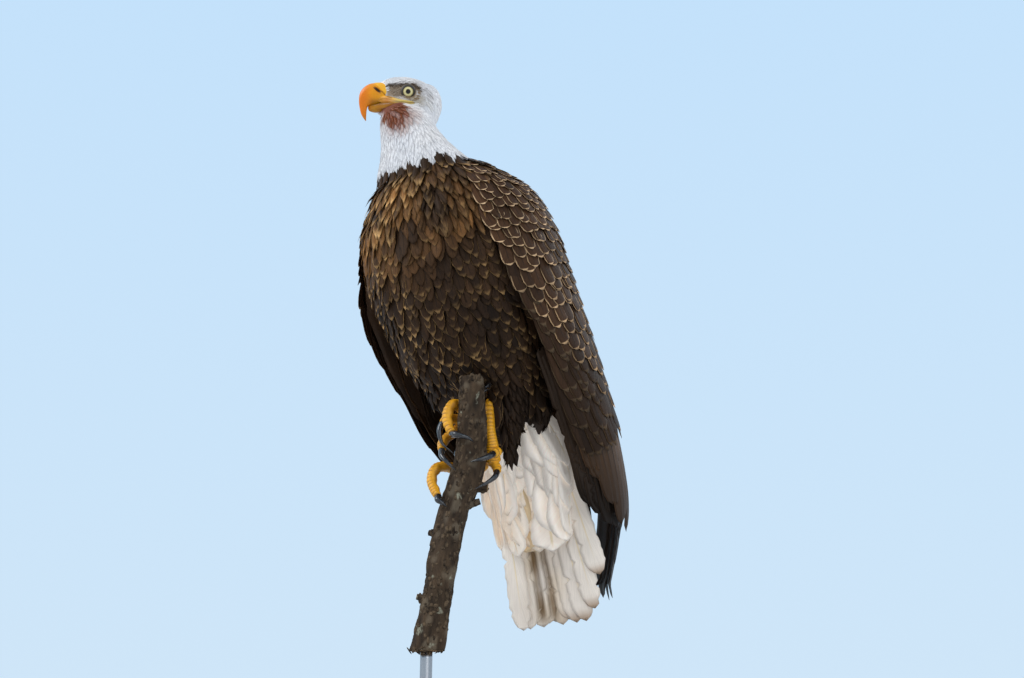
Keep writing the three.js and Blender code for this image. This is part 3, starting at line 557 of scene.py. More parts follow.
def evened(values, rounds):  # each value drawn towards its neighbours'
    values = values.reshape(len(skinPoints), -1)
    for _ in range(rounds):
        total = np.zeros_like(values)
        np.add.at(total, edges[:, 0], values[edges[:, 1]])
        np.add.at(total, edges[:, 1], values[edges[:, 0]])
        values = 0.5 * values + 0.5 * total / valence
    return values


skinPoints = evened(skinPoints - skinNormals * evened(depth, 10), 3)
skin.data.vertices.foreach_set("co", skinPoints.astype(np.float32).ravel())
skin.data.update()
skinPoints, skinNormals, skinTris = meshArrays(skin.data)
bodySurface = Surface(skinPoints, skinNormals, skinTris)
print("skin has", len(skinTris), "triangles")


# colours of the coat, the same for the skin and for the feathers on it
def loreMask(h):  # the thinly feathered skin between the eye and the bill
    front = ease(1, 9, h[:, 0]) * ease(34, 30, h[:, 0])
    upright = ease(8.5, 4, h[:, 2]) * ease(-16, -9, h[:, 2])
    ring = ease(15, 10.5, np.hypot(h[:, 0] - eyeBall["x"], h[:, 2] - eyeBall["z"]))
    return np.clip(front * upright * 0.9 + ring, 0, 1)


def nearLine(h, line, half):  # 1 on a line drawn on the side of the head, given as x and z
    line = np.asarray(line, float)
    at = h[:, [0, 2]]
    best = np.full(len(h), 99.0)
    for a, b in zip(line[:-1], line[1:]):
        t = np.clip(((at - a) @ (b - a)) / ((b - a) @ (b - a)), 0, 1)
        best = np.minimum(best, np.linalg.norm(at - a - t[:, None] * (b - a), axis=1))
    return ease(half * 1.5, half * 0.5, best)


def stainMask(points, h):  # old stain of food under the bill and down the throat's left side
    x, y, z = h.T
    reach, middle = np.interp(z, *whiteLook["stainReach"]), np.interp(z, *whiteLook["stainMiddle"])
    blot, fleck = (0.5 + 0.5 * drift(points, whiteLook[size]) for size in ("blot", "fleck"))
    inside = ease(1.12, 0.78, np.abs(x - middle) / reach + 0.6 * (blot - 0.5))
    inside = inside * ease(-54, -44, z + 5 * (blot - 0.5)) * ease(-14, -20, z) * ease(-4, 5, y)
    return inside * np.clip(0.55 + 0.45 * blot + 0.5 * fleck + 0.6 * ease(-34, -24, z), 0, 1)


whiteLook = {
    "white": paint(213, 214, 217), "cool": paint(198, 205, 215), "lore": paint(110, 89, 58),
    "line": paint(58, 46, 36), "stain": paint(106, 54, 34), "loreShare": 0.96, "lineShare": 0.95,
    "stainReach": ([-58, -52, -44, -36, -26, -16], [2, 5, 9, 14, 18, 19]),  # by height on the head
    "stainMiddle": ([-70, -50, -36, -26], [17, 19, 23, 27]), "blot": 0.0045, "fleck": 0.0017,
    # brow: a dark line over the eye, painted shadow under the brow ridge; behindEye: a thin dark line back from the eye
    "brow": [(35, 5.2), (24.5, 5.6), (13, 6.0), (2, 6.6), (-7, 4.6), (-12, 0.6)],
    "behindEye": [(-9, -1.5), (-14, -0.5), (-20, 0.6), (-27, 2)],
    "soft": [  # soft shadows on the face: x and z, reach both ways, colour, share
        (-7, -15, 24, 9, paint(136, 120, 84), 0.62),
        (4, 7, 22, 8, paint(150, 144, 142), 0.6),
        (-17, -3, 14, 9, paint(150, 144, 142), 0.42),
        (18, -36, 28, 22, paint(150, 112, 98), 0.75),
    ],
}


def whiteCoat(points):
    h = toHead(points)
    colour = over(whiteLook["white"], whiteLook["cool"], 0.25 + 0.25 * drift(points, 0.012))
    for x, z, wide, high, shade, share in whiteLook["soft"]:
        near = ease(1.15, 0.35, np.hypot((h[:, 0] - x) / wide, (h[:, 2] - z) / high))
        colour = over(colour, shade, near * patches(0.8, 0.4, points, 0.005) * share)
    colour = over(colour, whiteLook["lore"], loreMask(h) * whiteLook["loreShare"])
    # painted shadow under the brow ridge, and a thin dark line behind the eye
    line = np.maximum(nearLine(h, whiteLook["brow"], 2.0), 0.6 * nearLine(h, whiteLook["behindEye"], 0.8))
    colour = over(colour, whiteLook["line"], line * (np.abs(h[:, 1]) > 12) * whiteLook["lineShare"])
    return over(colour, whiteLook["stain"], stainMask(points, h))


brownLook = {
    "dark": paint(42, 28, 17), "mid": paint(70, 48, 29), "gold": paint(176, 122, 66),
    "black": paint(40, 29, 21), "blackShare": 0.8, "rim": paint(224, 178, 118),
}


def aboveBreast(points):  # height over the line where the white coat ends
    return points[:, 2] - 0.811 - 0.3 * (points[:, 1] + 0.131)


def brownCoat(points):  # golden brown high on the breast, dark on the belly, blackish on the thighs
    x, y, z = points.T
    wander = drift(points, 0.02)
    gold = ease(0.66, 0.76, z + 0.02 * wander) * ease(0.016, -0.014, aboveBreast(points) + 0.01 * wander)
    gold = gold * ease(0.04, -0.05, y + 0.6 * (0.62 - z)) * ease(-0.025, -0.065, y)  # in front only
    gold = gold * (0.35 + 0.65 * ease(0.05, -0.07, x)) * (1 - ease(0.05, 0.075, np.abs(x)) * ease(0.78, 0.8, z))
    colour = over(brownLook["dark"], brownLook["mid"], 0.5 + 0.5 * wander)
    colour = colour * (0.6 + 0.4 * ease(0.58, 0.7, z))[:, None]
    colour = over(colour, brownLook["gold"], gold * patches(0.4, 0.6, points, 0.012))
    return over(colour, brownLook["black"], ease(0.56, 0.48, z) * brownLook["blackShare"])


tailLook = {
    "white": paint(232, 224, 214), "warm": paint(200, 178, 144), "stain": paint(98, 70, 32),
    # grey is painted soft shade in patches; stain is a stain down the tail's groove, darkened there as painted shade
    "grey": paint(206, 196, 186),
}


def alongTail(points):  # how far down the tail, and how far across it from -1 to 1
    off = np.asarray(points, float) / mm - tail["root"]
    t = (off @ tailDown) / (tailDown @ tailDown)
    return t, ((off - t[:, None] * tailDown) @ unit(tailAcross)) / (tail["rootHalf"] + 18 * t)


def tailCoat(points):
    t, u = alongTail(points)
    streak = drift(points * [1, 1, 0.16], 0.006)
    wander = 0.05 * drift(points * [0, 0, 1], 0.03)
    warm = ease(0.75, 0.1, np.abs(u + 0.2)) * ease(0.28, 0.5, t) * np.clip(0.35 + 0.5 * streak, 0, 1)
    wide, narrow = ease(0.15, 0.05, np.abs(u + 0.34 + wander)), ease(0.14, 0.05, np.abs(u + 0.06 + wander))
    # a brown stain down the tail's grooves, partly painted shade of the grooves
    grooveStainAndShade = np.maximum(wide, 0.9 * narrow) * ease(0.4, 0.5, t) * ease(1.02, 0.92, t)
    # grey patches of painted soft shade that wander over the white
    colour = over(tailLook["white"], tailLook["grey"], patches(0.2, 0.3, points, 0.014))
    colour = over(colour, tailLook["warm"], warm)
    return over(colour, tailLook["stain"], grooveStainAndShade * np.clip(0.75 + 0.3 * streak, 0, 1))


tailTint = np.maximum(tailCoat(skinPoints), tailLook["warm"])
skinTint = np.where((isHead | isNeck)[:, None], whiteCoat(skinPoints), brownCoat(skinPoints))
skinTint = np.where(onNodes("tail_coverts_under", "tail_coverts_upper")[:, None], tailTint, skinTint)
markCorners(skin.data, "tint", skinTint)
# the skin glows a little in its own tint: painted light that lifts the shadows under the feathers
skinShader = grained(
    "feathered skin", skinLook["brown"], scale=420.0, tone=(0.3, 0.78), bump=0.6, deep=0.001, Roughness=0.85,
    Emission_Strength=0.22,
)
finishPiece(skin, skinShader, "feathers_brown", *skinLook["flesh"])

fiveAcross, threeAcross = [-1, -0.55, 0, 0.55, 1], [-1, 0, 1]
shapes = {  # stations along a feather, its width and its edges' lag there, and points across it
    "broad": (
        [0, 0.18, 0.4, 0.62, 0.8, 0.93, 1], [0.3, 0.66, 0.92, 1, 0.98, 0.82, 0.44],
        [0, 0, 0, 0, 0.01, 0.03, 0.05], fiveAcross),
    "soft": (
        [0, 0.18, 0.4, 0.6, 0.78, 0.92, 1], [0.3, 0.7, 0.95, 1, 0.9, 0.66, 0.26],
        [0, 0, 0, 0.01, 0.03, 0.06, 0.07], fiveAcross),
    "round": (
        [0, 0.18, 0.4, 0.62, 0.8, 0.92, 1], [0.3, 0.66, 0.94, 1, 0.82, 0.54, 0.16],
        [0, 0, 0, 0.01, 0.03, 0.04, 0.03], fiveAcross),
    "pointed": (
        [0, 0.2, 0.45, 0.68, 0.86, 1], [0.35, 0.78, 1, 0.82, 0.46, 0.05], [0, 0, 0, 0.01, 0.03, 0.03], threeAcross),
    "leaf": (
        [0, 0.2, 0.42, 0.64, 0.82, 1], [0.35, 0.76, 1, 0.93, 0.64, 0.12], [0, 0, 0, 0.02, 0.06, 0.05], threeAcross),
    "fine": ([0, 0.4, 0.76, 1], [0.5, 1, 0.72, 0.1], [0, 0, 0.03, 0], threeAcross),
}


def shapeOf(look):
    return [np.array(values, float) for values in shapes[look["shape"]]]


def leafFaces(rows, columns):
    top = np.arange(rows * columns).reshape(rows, columns)
    under = top.copy()
    under[1:-1, 1:-1] = rows * columns + np.arange((rows - 2) * (columns - 2)).reshape(rows - 2, columns - 2)
    one = np.stack([top[:-1, :-1], top[:-1, 1:], top[1:, 1:], top[1:, :-1]], -1).reshape(-1, 4)
    two = np.stack([under[:-1, :-1], under[1:, :-1], under[1:, 1:], under[:-1, 1:]], -1).reshape(-1, 4)
    return np.concatenate([one, two])


def leaves(lines, ups, left, right, across, lag, thick, arch, roll, ridge=0.0):
    # lines and ups (n, rows, 3), left and right half widths (n, rows); thin closed leaves
    n = len(lines)
    along = unit(np.gradient(lines, axis=1))
    ups = unit(ups - along * dot(along, ups))
    sideways = np.cross(along, ups)
    c, s = np.cos(roll)[:, None, None], np.sin(roll)[:, None, None]
    sideways, ups = sideways * c + ups * s, ups * c - sideways * s
    wide = np.where(across[None, None] < 0, left[..., None], right[..., None]) * across
    length = np.linalg.norm(np.diff(lines, axis=1), axis=-1).sum(1)
    back = lag[..., None] * across ** 2 * length[:, None, None]
    fall = arch * np.abs(wide) * np.abs(across)
    rise = ridge * (np.abs(across) < 0.08)
    middle = lines[:, :, None] + sideways[:, :, None] * wide[..., None] - along[:, :, None] * back[..., None]
    body = thick * (1 - across ** 2)[None, None, :, None] * ups[:, :, None]
    level = ups[:, :, None] * (rise - fall)[..., None]
    top = middle + level + body
    under = (middle + level - body)[:, 1:-1, 1:-1]
    top[:, [0, -1]] -= body[:, [0, -1]]
    return np.concatenate([top.reshape(n, -1, 3), under.reshape(n, -1, 3)], 1)


def leafSpots(across, along):  # across and along of each corner of a leaf
    spots = np.stack(np.meshgrid(across, along), -1)
    return np.concatenate([spots.reshape(-1, 2), spots[1:-1, 1:-1].reshape(-1, 2)])


def leafPiece(name, points, along, across, number, tint, rim, uv):
    # leaves as one piece; tint and rim have a colour for each leaf, or for each of its corners
    n, per = points.shape[:2]
    faces = leafFaces(len(along), len(across))[None] + (np.arange(n) * per)[:, None, None]
    vane = np.empty((n, per, 3))
    vane[..., :2], vane[..., 2] = leafSpots(across, along), number[:, None]
    tint, rim = (np.broadcast_to(colour, (n, per, 3)).reshape(-1, 3) for colour in (tint, rim))
    return makePiece(name, points, [faces.reshape(-1, 4)], uv=uv, tint=tint, rim=rim, vane=vane.reshape(-1, 3))


def coatPiece(name, source, lines, ups, half, roots, look, tint, rim, shader, slot):
    # each feather gets ragged edges, a roll and a shade of its own
    along, wide, lag, across = shapeOf(look)
    n, rows = lines.shape[:2]
    ragged = 1 + look["ragged"] * source.normal(size=(n, rows, 2)) * (along > 0.5)[None, :, None]
    wide = wide * half[:, None]
    lag = lag * (1 + look.get("lagVary", look["ragged"]) * source.normal(size=(n, rows)))
    roll = np.radians(look["roll"]) * (source.normal(size=n) * look.get("rollVary", 1) + look.get("leaning", 0))
    points = leaves(
        lines, ups, wide * ragged[..., 0], wide * ragged[..., 1], across, lag, look["thick"] * mm, look["arch"], roll,
    )
    shade = 1 + look["vary"] * source.normal(size=(n, 1))
    patch = (leafSpots(across, along) * [0.5, 1] - [0, 0.5]) * 0.003
    piece = leafPiece(
        name, points, along, across, source.random(n), (tint * shade)[:, None], (rim * shade)[:, None],
        unwrapAt(roots)[:, None] + patch,
    )
    finishPiece(piece, shader, slot)


def spread(mask, look):  # roots on the skin, where the mask of its corners is true
    source, spacing = np.random.default_rng(look["rootSeed"]), look["spacing"] * mm
    tris = skinTris[mask[skinTris].all(1)]
    a, b, c = (skinPoints[tris[:, k]] for k in range(3))
    area = np.linalg.norm(np.cross(b - a, c - a), axis=1) / 2
    count = int(area.sum() / spacing ** 2 * 7)
    pick = source.choice(len(tris), count, p=area / area.sum())
    r1, r2 = np.sqrt(source.random(count))[:, None], source.random(count)[:, None]
    spots = (1 - r1) * a[pick] + r1 * (1 - r2) * b[pick] + r1 * r2 * c[pick]
    grid, kept = {}, []
    limit = (spacing * 0.86) ** 2
    for i, (x, y, z) in enumerate(spots.tolist()):
        cell = (int(x // spacing), int(y // spacing), int(z // spacing))
        cells = ((cell[0] + dx, cell[1] + dy, cell[2] + dz) for dx, dy, dz in product((-1, 0, 1), repeat=3))
        near = (p for key in cells for p in grid.get(key, ()))
        if all((p[0] - x) ** 2 + (p[1] - y) ** 2 + (p[2] - z) ** 2 >= limit for p in near):
            grid.setdefault(cell, []).append((x, y, z))
            kept.append(i)
    return spots[kept]


def layFeathers(name, roots, look, tint, rim, shader, slot, scale=1.0):
    # each feather walks over the skin from its root, rises through the coat and ends above it
    source = np.random.default_rng(look["seed"])
    spot, normal = bodySurface.nearest(roots)
    lying = np.abs(dot(lieOf(roots), normal))[:, 0] < 0.85
    scale = np.broadcast_to(scale, len(roots))
    roots, tint, rim, scale, spot, normal = (v[lying] for v in (roots, tint, rim, scale, spot, normal))
    n = len(roots)
    along = shapeOf(look)[0]
    rows = len(along)
    length = look["length"] * mm * source.uniform(0.85, 1.15, n) * scale
    half = look["width"] * mm * source.uniform(0.88, 1.12, n) / 2
    swing = np.radians(look["swing"]) * source.normal(size=(n, 1))
    heading = lieOf(spot)
    heading = unit(heading - normal * dot(heading, normal))
    heading = heading * np.cos(swing) + np.cross(normal, heading) * np.sin(swing)
    lift = look["lift"] * mm * source.uniform(0, 1, n) ** 2
    lines, ups = np.empty((n, rows, 3)), np.empty((n, rows, 3))
    for r, t in enumerate(along):
        if r:
            step = (t - along[r - 1]) * length[:, None]
            aim = spot + heading * step
            near, newNormal = bodySurface.nearest(aim)
            pull = near - aim
            size = np.linalg.norm(pull, axis=1, keepdims=True)
            held = ease(0.35, 0.85, dot(normal, newNormal))  # 0 where the skin turns away and the tip hangs free
            spot = aim + pull * held * np.minimum(1, look["cling"] * step / np.maximum(size, 1e-9))
            normal = unit(normal + 1.2 * held * newNormal)
            heading = unit(0.7 * heading + 0.3 * lieOf(spot))
            heading = unit(heading - normal * dot(heading, normal))
        height = look["depth"] * mm * t ** 0.85 - 0.0007 * (1 - t) + lift * t * t
        height = height + look["stagger"] * mm * source.normal(size=n) * 0.2 * t
        lines[:, r] = spot + normal * height[:, None]
        ups[:, r] = normal
    coatPiece(name, source, lines, ups, half, roots, look, tint, rim, shader, slot)


brownVane = featherShader("brown feathers", paint(58, 42, 30))
goldVane = featherShader(
    "golden feathers", paint(96, 68, 42), gloss=0.14, patchScale=70.0, patchy=0.7, rimWide=0.35, tipFade=(0.6, 0.97),
    shaft=paint(40, 27, 17),
)
wingVane = featherShader(
    "wing coverts", paint(58, 43, 32), rough=0.6, patchScale=38.0, patchy=0.35, rimWide=0.22, tipFade=(0.925, 0.962),
    shaft=paint(26, 19, 15), streak=0.4,
)
# the white feathers glow a little (lift): painted light that softens the shadows between them
whiteVane = featherShader(
    "white feathers", paint(240, 240, 238), rough=0.8, gloss=0.2, barbs=26.0, patchScale=60.0, patchy=0.3,
    through=0.35, lift=0.25, rimWide=0.3, rimShare=0.7, tipFade=(0.7, 1.0), shaft=paint(225, 222, 214),
    shaftShare=0.2, streak=0.12, bump=0.2,
)
# the tail feathers glow a little too (lift): painted light that brightens their shade
tailVane = featherShader(
    "tail feathers", paint(214, 206, 194), rough=0.75, gloss=0.2, barbs=150.0, patchScale=26.0, patchy=0.4,
    lift=0.19, rimShare=0.5, tipFade=(0.97, 1.0), shaft=paint(214, 196, 158), shaftShare=0.7, streak=0.22, bump=0.3,
)
flightVane = featherShader(
    "flight feathers", paint(52, 42, 35), rough=0.5, gloss=0.15, barbs=170.0, patchScale=24.0, patchy=0.3,
    rimWide=0.14, rimShare=0.85, tipFade=(0.985, 1.0), shaft=paint(30, 24, 20), shaftShare=0.8, streak=0.3, bump=0.3,
)

print("head and neck")
bareEdge = {  # where the head has no feathers, in its own frame
    "eye": 9.6, "gapeHalf": ([-9, -4, 10, 20, 28, 34, 40], [0.5, 2.6, 3.9, 5.4, 7.5, 9.5, 11]),
    "gapeMiddle": ([-8, 4, 16, 28, 34, 40], [-21, -20.7, -20.2, -19.4, -19, -16]),
    "billBase": ([-16, -9.5, -2, 6, 10.5], [27, 30, 34, 38, 39]),
}


def bareSkin(h, spare=0.0):  # true round the eyes, on the bill's base and along the gape
    x, y, z = h.T
    eye = np.hypot(x - eyeBall["x"], z - eyeBall["z"]) < bareEdge["eye"] + spare
    off = np.abs(z - np.interp(x, *bareEdge["gapeMiddle"]))
    gape = (off < np.interp(x, *bareEdge["gapeHalf"]) + spare) & (x > -9)
    front = np.interp(z, *bareEdge["billBase"])
    base = (x > front - spare) & (z > -24) & (z < 9.5)
    return (eye | gape | base) & (np.abs(y) > 8) | (x > 40)


def whiteRim(tint):
    return np.minimum(tint * 1.06, 1)


def layWhite(name, roots, look, scale=1.0):
    tint = whiteCoat(roots)
    layFeathers(name, roots, look, tint, whiteRim(tint), whiteVane, "feathers_white", scale)


faceLook = {
    "shape": "fine", "length": 7.5, "width": 2.6, "depth": 0.9, "swing": 7, "lift": 0.3, "cling": 0.8,
    "stagger": 0.3, "ragged": 0.08, "thick": 0.1, "arch": 0.05, "roll": 2, "vary": 0.02,
    "spacing": 1.8, "rootSeed": 21, "seed": 2,
}
napeLook = dict(
    faceLook, shape="pointed", length=17, width=5.0, depth=2.2, lift=0.9, thick=0.14, spacing=2.9, rootSeed=22, seed=3,
)
neckLook = dict(
    faceLook, shape="leaf", length=32, width=7.4, depth=2.4, lift=0.35, swing=5, thick=0.12, ragged=0.1, vary=0.015,
    arch=0.03, spacing=3.7, rootSeed=23, seed=4,
)
feathered = isHead & ~bareSkin(headSpot, -0.6)
headBack = ease(-12, -30, headSpot[:, 0]) > 0.5
roots = spread(feathered & ~headBack, faceLook)
layWhite("coat_face", roots[~bareSkin(toHead(roots), 0.2)], faceLook)
layWhite("coat_nape", spread(feathered & headBack, napeLook), napeLook)
whiteEdge = aboveBreast(skinPoints)
lowHead = feathered & (headSpot[:, 2] < -26 - 8 * ease(-10, 20, headSpot[:, 0]))
roots = spread(isNeck & (whiteEdge > 0.018) | lowHead, neckLook)
roots = roots[aboveBreast(roots) > 0.022 + 0.004 * drift(roots, 0.006)]
roots = roots[~bareSkin(toHead(roots), 1.0)]
layWhite("coat_neck", roots, neckLook, np.clip(0.5 + (0.9 - roots[:, 2]) / 0.05 * 0.5, 0.45, 1.0))

print("breast, back and thighs")
breastLook = {
    "shape": "round", "length": 46, "width": 19, "depth": 6.8, "swing": 9, "lift": 4.0, "cling": 0.7,
    "stagger": 1.4, "ragged": 0.12, "thick": 0.25, "arch": 0.09, "roll": 6, "vary": 0.2,
    "spacing": 11.2, "rootSeed": 32, "rimSeed": 72, "seed": 6,
}
goldLook = dict(
    breastLook, shape="leaf", length=44, width=13, swing=11, lift=5, spacing=9.2, rootSeed=31, rimSeed=71, seed=5,
)
backLook = dict(
    breastLook, length=50, width=23, swing=5, spacing=12.5, rootSeed=33, rimSeed=73, seed=7,
    painted=[1, 0, 1],  # coloured as if on the middle line, with no gold
)
thighLook = dict(
    breastLook, shape="leaf", length=40, width=12, depth=5.5, lift=2.5, cling=0.35, vary=0.12,
    spacing=8.5, rootSeed=34, rimSeed=74, seed=8,
)


def layBrown(name, roots, look, pale, shader, slot="feathers_brown", scale=1.0):
    # tips worn pale in some feathers and dark in others, in loose groups
    source = np.random.default_rng(look["rimSeed"])
    painted = roots * look.get("painted", [1, 1, 1])
    worn = np.clip(0.5 + 0.7 * drift(painted, 0.022, 1.0) + 0.3 * source.normal(size=len(roots)), 0, 1)
    tint = brownCoat(painted)
    layFeathers(name, roots, look, tint, over(tint, brownLook["rim"], pale * worn), shader, slot, scale)


def underWing(points):  # true where a folded wing or the mantle covers the body
    points = np.asarray(points, float) / mm
    w = np.linspace(0, 0.66, 90)
    s = stationAt(cloak, w)
    below = unit((stationAt(cloak, w + 0.01) - stationAt(cloak, w - 0.01))[:, :2])
    off = points[:, None, 1:] - s[None, :, :2]
    k = np.argmin(np.abs((off * below[None]).sum(2)) + 0.2 * np.linalg.norm(off, axis=2), axis=1)
    rows, s, below = off[np.arange(len(k)), k], s[k], below[k]
    rise = -rows[:, 0] * below[:, 1] + rows[:, 1] * below[:, 0]
    angle = np.degrees(np.arctan2(rise / s[:, 3], np.abs(points[:, 0]) / s[:, 2]))
    return (angle > np.maximum(s[:, 4], -30) + 12) & (k > 0) & (np.abs((rows * below).sum(1)) < 12)


skinX, skinY, skinZ = skinPoints.T
vent = (skinZ < 0.48 + 0.035 * ease(0.03, 0.05, skinX)) & (skinY > 0.03)
openTrunk = (onNodes("trunk") | isNeck & (whiteEdge < 0.03)) & ~vent & ~underWing(skinPoints)
dorsal = dot(skinNormals, np.array([0, 0.85, 0.53]))[:, 0] >= 0.25
high = skinZ > 0.725
roots = spread(openTrunk & ~dorsal & high, goldLook)
roots = roots[aboveBreast(roots) < 0.021]
pale = 0.45 + 0.55 * ease(0.06, -0.06, roots[:, 0]) * ease(0.03, -0.04, roots[:, 1])
layBrown("coat_breast_upper", roots, goldLook, pale, goldVane)
roots = spread(openTrunk & ~dorsal & ~high, breastLook)
pale = 0.35 + 0.6 * ease(0.09, -0.08, roots[:, 0]) * ease(0.46, 0.56, roots[:, 2])
layBrown("coat_breast", roots, breastLook, pale, brownVane)
roots = spread(openTrunk & dorsal, backLook)
layBrown("coat_back", roots[aboveBreast(roots) < 0.021], backLook, 0.8, wingVane)
roots = spread(onNodes("thigh_left", "thigh_right"), thighLook)
x, y, z = roots.T
room = z - np.where(y > 0.022, 0.464, np.where(x > 0.015, 0.404, 0.438))  # height over the thigh's lower edge
roots, room = roots[room > 0.012], room[room > 0.012]
layBrown("coat_thighs", roots, thighLook, 0.12, brownVane, "feathers_dark", np.clip((room + 0.006) / 0.04, 0.3, 1))

print("wings")
wingLook = {  # length and width at the shoulder, and how much more at the last row
    "shape": "broad", "run": wingForm["run"], "length": (28, 46), "width": (15.5, 13.5), "swing": 1.6, "depth": 5.6,
    "top": 0.4, "lift": 1.0, "ragged": 0.04, "lagVary": 0.1, "roll": 2, "rollVary": 0.6, "thick": 0.25, "arch": 0.05,
    "vary": 0.14, "tone": 1.0, "toneVary": 0.2, "rimTone": 1.0, "scatter": (0.0035, 1.0), "rootSeed": 41, "seed": 50,
}
frontLook = dict(
    wingLook, length=(96, 0), width=(22, 0), swing=0.8, depth=4.2, top=1.6, lift=0.4, tone=0.7, toneVary=0.15,
    rimTone=0.22, scatter=(0.006, 0.6), rootSeed=45, seed=57,
)
mantleLook = dict(wingLook, length=(30, 46), width=(17, 13), top=1.2, leaning=0, rootSeed=47, seed=53)
covertLook = {
    "first": 0.004, "last": 0.665, "run": 640, "gap": (10.5, 12.5), "apart": (11.5, 10.5), "growth": 0.8,
    "mantle": (-0.01, 0.6), "mantleGap": (11, 12), "mantleApart": (12, 10),
    "frontRows": (0.24, 0.6, 0.034), "frontApart": 5.2,
    "tint": [paint(72, 48, 30), paint(48, 32, 19)], "rim": [paint(240, 204, 162), paint(190, 150, 106)],
    "front": ([0, 0.2, 0.3, 0.36, 0.42, 0.53, 0.6, 0.665], [-34, -32, -25, -18, -10, 9, 26, 44]),
}


def scattered(rows, look, extra=0):  # rows of roots as (w, angles), each moved a little
    source = np.random.default_rng(look["rootSeed"] + extra)
    ws, angles = [], []
    for w, row in rows:
        ws.append(w + source.normal(size=len(row)) * look["scatter"][0])
        angles.append(row + source.normal(size=len(row)) * look["scatter"][1])
    return np.concatenate(ws), np.concatenate(angles)


def covertRows():
    # staggered rows down the wing, small at the shoulder and larger down to the long feathers
    w, late = covertLook["first"], False
    while w < covertLook["last"] - 0.05:
        share = (w / covertLook["last"]) ** covertLook["growth"]
        s = stationAt(cloak, w)
        front, rear = max(s[4] - 3, np.interp(w, *covertLook["front"])), s[5] + 3
        apart = covertLook["apart"][0] + covertLook["apart"][1] * share
        steps = max(3, int(round((rear - front) * math.radians((s[2] + s[3]) / 2) / apart)))
        yield w, front + (np.arange(steps) + (0.5 if late else 0.0)) * (rear - front) / steps
        w, late = w + (covertLook["gap"][0] + covertLook["gap"][1] * share) / covertLook["run"], not late


def frontRows():  # the long dark coverts along the front edge, under the scalloped ones
    apart = covertLook["frontApart"]
    for row, w in enumerate(np.arange(*covertLook["frontRows"])):
        low, high = stationAt(cloak, w)[4] + 3, np.interp(w, *covertLook["front"]) + 7
        yield w, np.arange(low, high, apart) + (apart / 2 if row % 2 else 0)


def mantleRows():  # rows across the back, from one wing's rear edge to the other's
    (w, end), late = covertLook["mantle"], False
    gap, apart = covertLook["mantleGap"], covertLook["mantleApart"]
    while w < end:
        share = max(w, 0) / covertLook["last"]
        s = stationAt(cloak, max(w, 0))
        half = 90 - s[5] + 5
        count = max(3, int(round(half * 2 * math.radians(s[3]) / (apart[0] + apart[1] * share))))
        yield w, np.linspace(90 - half, 90 + half, count) + (1.5 if late else -1.5)
        w, late = w + (gap[0] + gap[1] * share ** covertLook["growth"]) / covertLook["run"], not late


def rowCoat(name, surfaceAt, w, angle, length, width, look, tint, rim, shader, slot):
    # feathers lie along w, each rising from under the row above to the outside at its tip
    source = np.random.default_rng(look["seed"])
    n, along = len(w), shapeOf(look)[0]
    length = length * source.uniform(0.9, 1.1, n)
    swing = look["swing"] * source.normal(size=n)
    ws = w[:, None] + along * length[:, None] / look["run"]
    angles = angle[:, None] + along * swing[:, None]
    under = look["depth"] * (1 - along) + look["top"] - look["lift"] * source.random((n, 1)) * along ** 2
    lines = surfaceAt(ws, angles, under)
    ups = unit(surfaceAt(ws, angles, under - 10) - lines)
    half = width / 2 * source.uniform(0.92, 1.1, n) * mm
    coatPiece(name, source, lines, ups, half, lines[:, 0], look, tint, rim, shader, slot)


def sizesAt(look, share):  # lengths and widths of feathers at a share of the way down
    return (look[key][0] + look[key][1] * share for key in ("length", "width"))


def layCoverts(name, sign, rows, look):
    w, angle = scattered(rows, look, sign)
    surfaceAt = partial(cloakPoint, sign)
    share = np.clip(w / covertLook["last"], 0, 1)
    tone = look["tone"] + look["toneVary"] * drift(surfaceAt(w, angle), 0.02)[:, None]
    tint, rim = (over(*covertLook[key], share) * tone for key in ("tint", "rim"))
    length, width = sizesAt(look, share)
    look = dict(look, leaning=look.get("leaning", sign), seed=look["seed"] + sign)
    rowCoat(name, surfaceAt, w, angle, length, width, look, tint, rim * look["rimTone"], wingVane, "feathers_brown")


for side, sign in (("left", 1), ("right", -1)):
    layCoverts(f"coat_wing_{side}_front", sign, frontRows(), frontLook)
    layCoverts(f"coat_wing_{side}", sign, covertRows(), wingLook)
layCoverts("coat_mantle", 1, mantleRows(), mantleLook)

print("tail coverts")
underTail = np.array([  # x, y, z, half width, depth towards the belly
    [2, 60, 500, 50, 26], [2, 80, 462, 64, 31], [2, 97, 416, 69, 28], [-3, 114, 370, 64, 20],
    [-7, 130, 322, 56, 11], [-9, 141, 290, 50, 7], [-10, 152, 258, 46, 5],
])
tailCovertLook = {
    "shape": "soft", "run": 262, "length": (84, -10), "width": (60, -8), "swing": 4, "depth": 7, "top": 0.0,
    "lift": 4, "ragged": 0.05, "lagVary": 0.1, "roll": 2, "rollVary": 0.6, "thick": 0.25, "arch": 0.07,
    "vary": 0.015, "bright": 1.16, "rows": (-0.04, 0.5, 0.07), "halfTurn": 84, "scatter": (0.022, 6),
    "rootSeed": 35, "seed": 9,
}
upperTailLook = dict(
    breastLook, length=58, width=27, depth=4.6, lift=1.0, ragged=0.06, cling=0.5, roll=3, vary=0.02, bright=1.18,
    spacing=13.5, rootSeed=36, seed=10,
)


def underTailAt(w, angle, under):
    w, angle = np.broadcast_arrays(np.asarray(w, float), np.asarray(angle, float))
    s = stationAt(underTail, w)
    a = np.radians(angle)
    out = tailSide * (np.sin(a) * (s[..., 3] - under))[..., None]
    out = out + np.cross(tailWay, tailSide) * (np.cos(a) * (s[..., 4] - under))[..., None]
    return (s[..., :3] + out) * mm


def tailRows():
    half = tailCovertLook["halfTurn"]
    for row, w in enumerate(np.arange(*tailCovertLook["rows"])):
        yield w, np.linspace(-half, half, 6) * 0.86 if row % 2 else np.linspace(-half, half, 7)


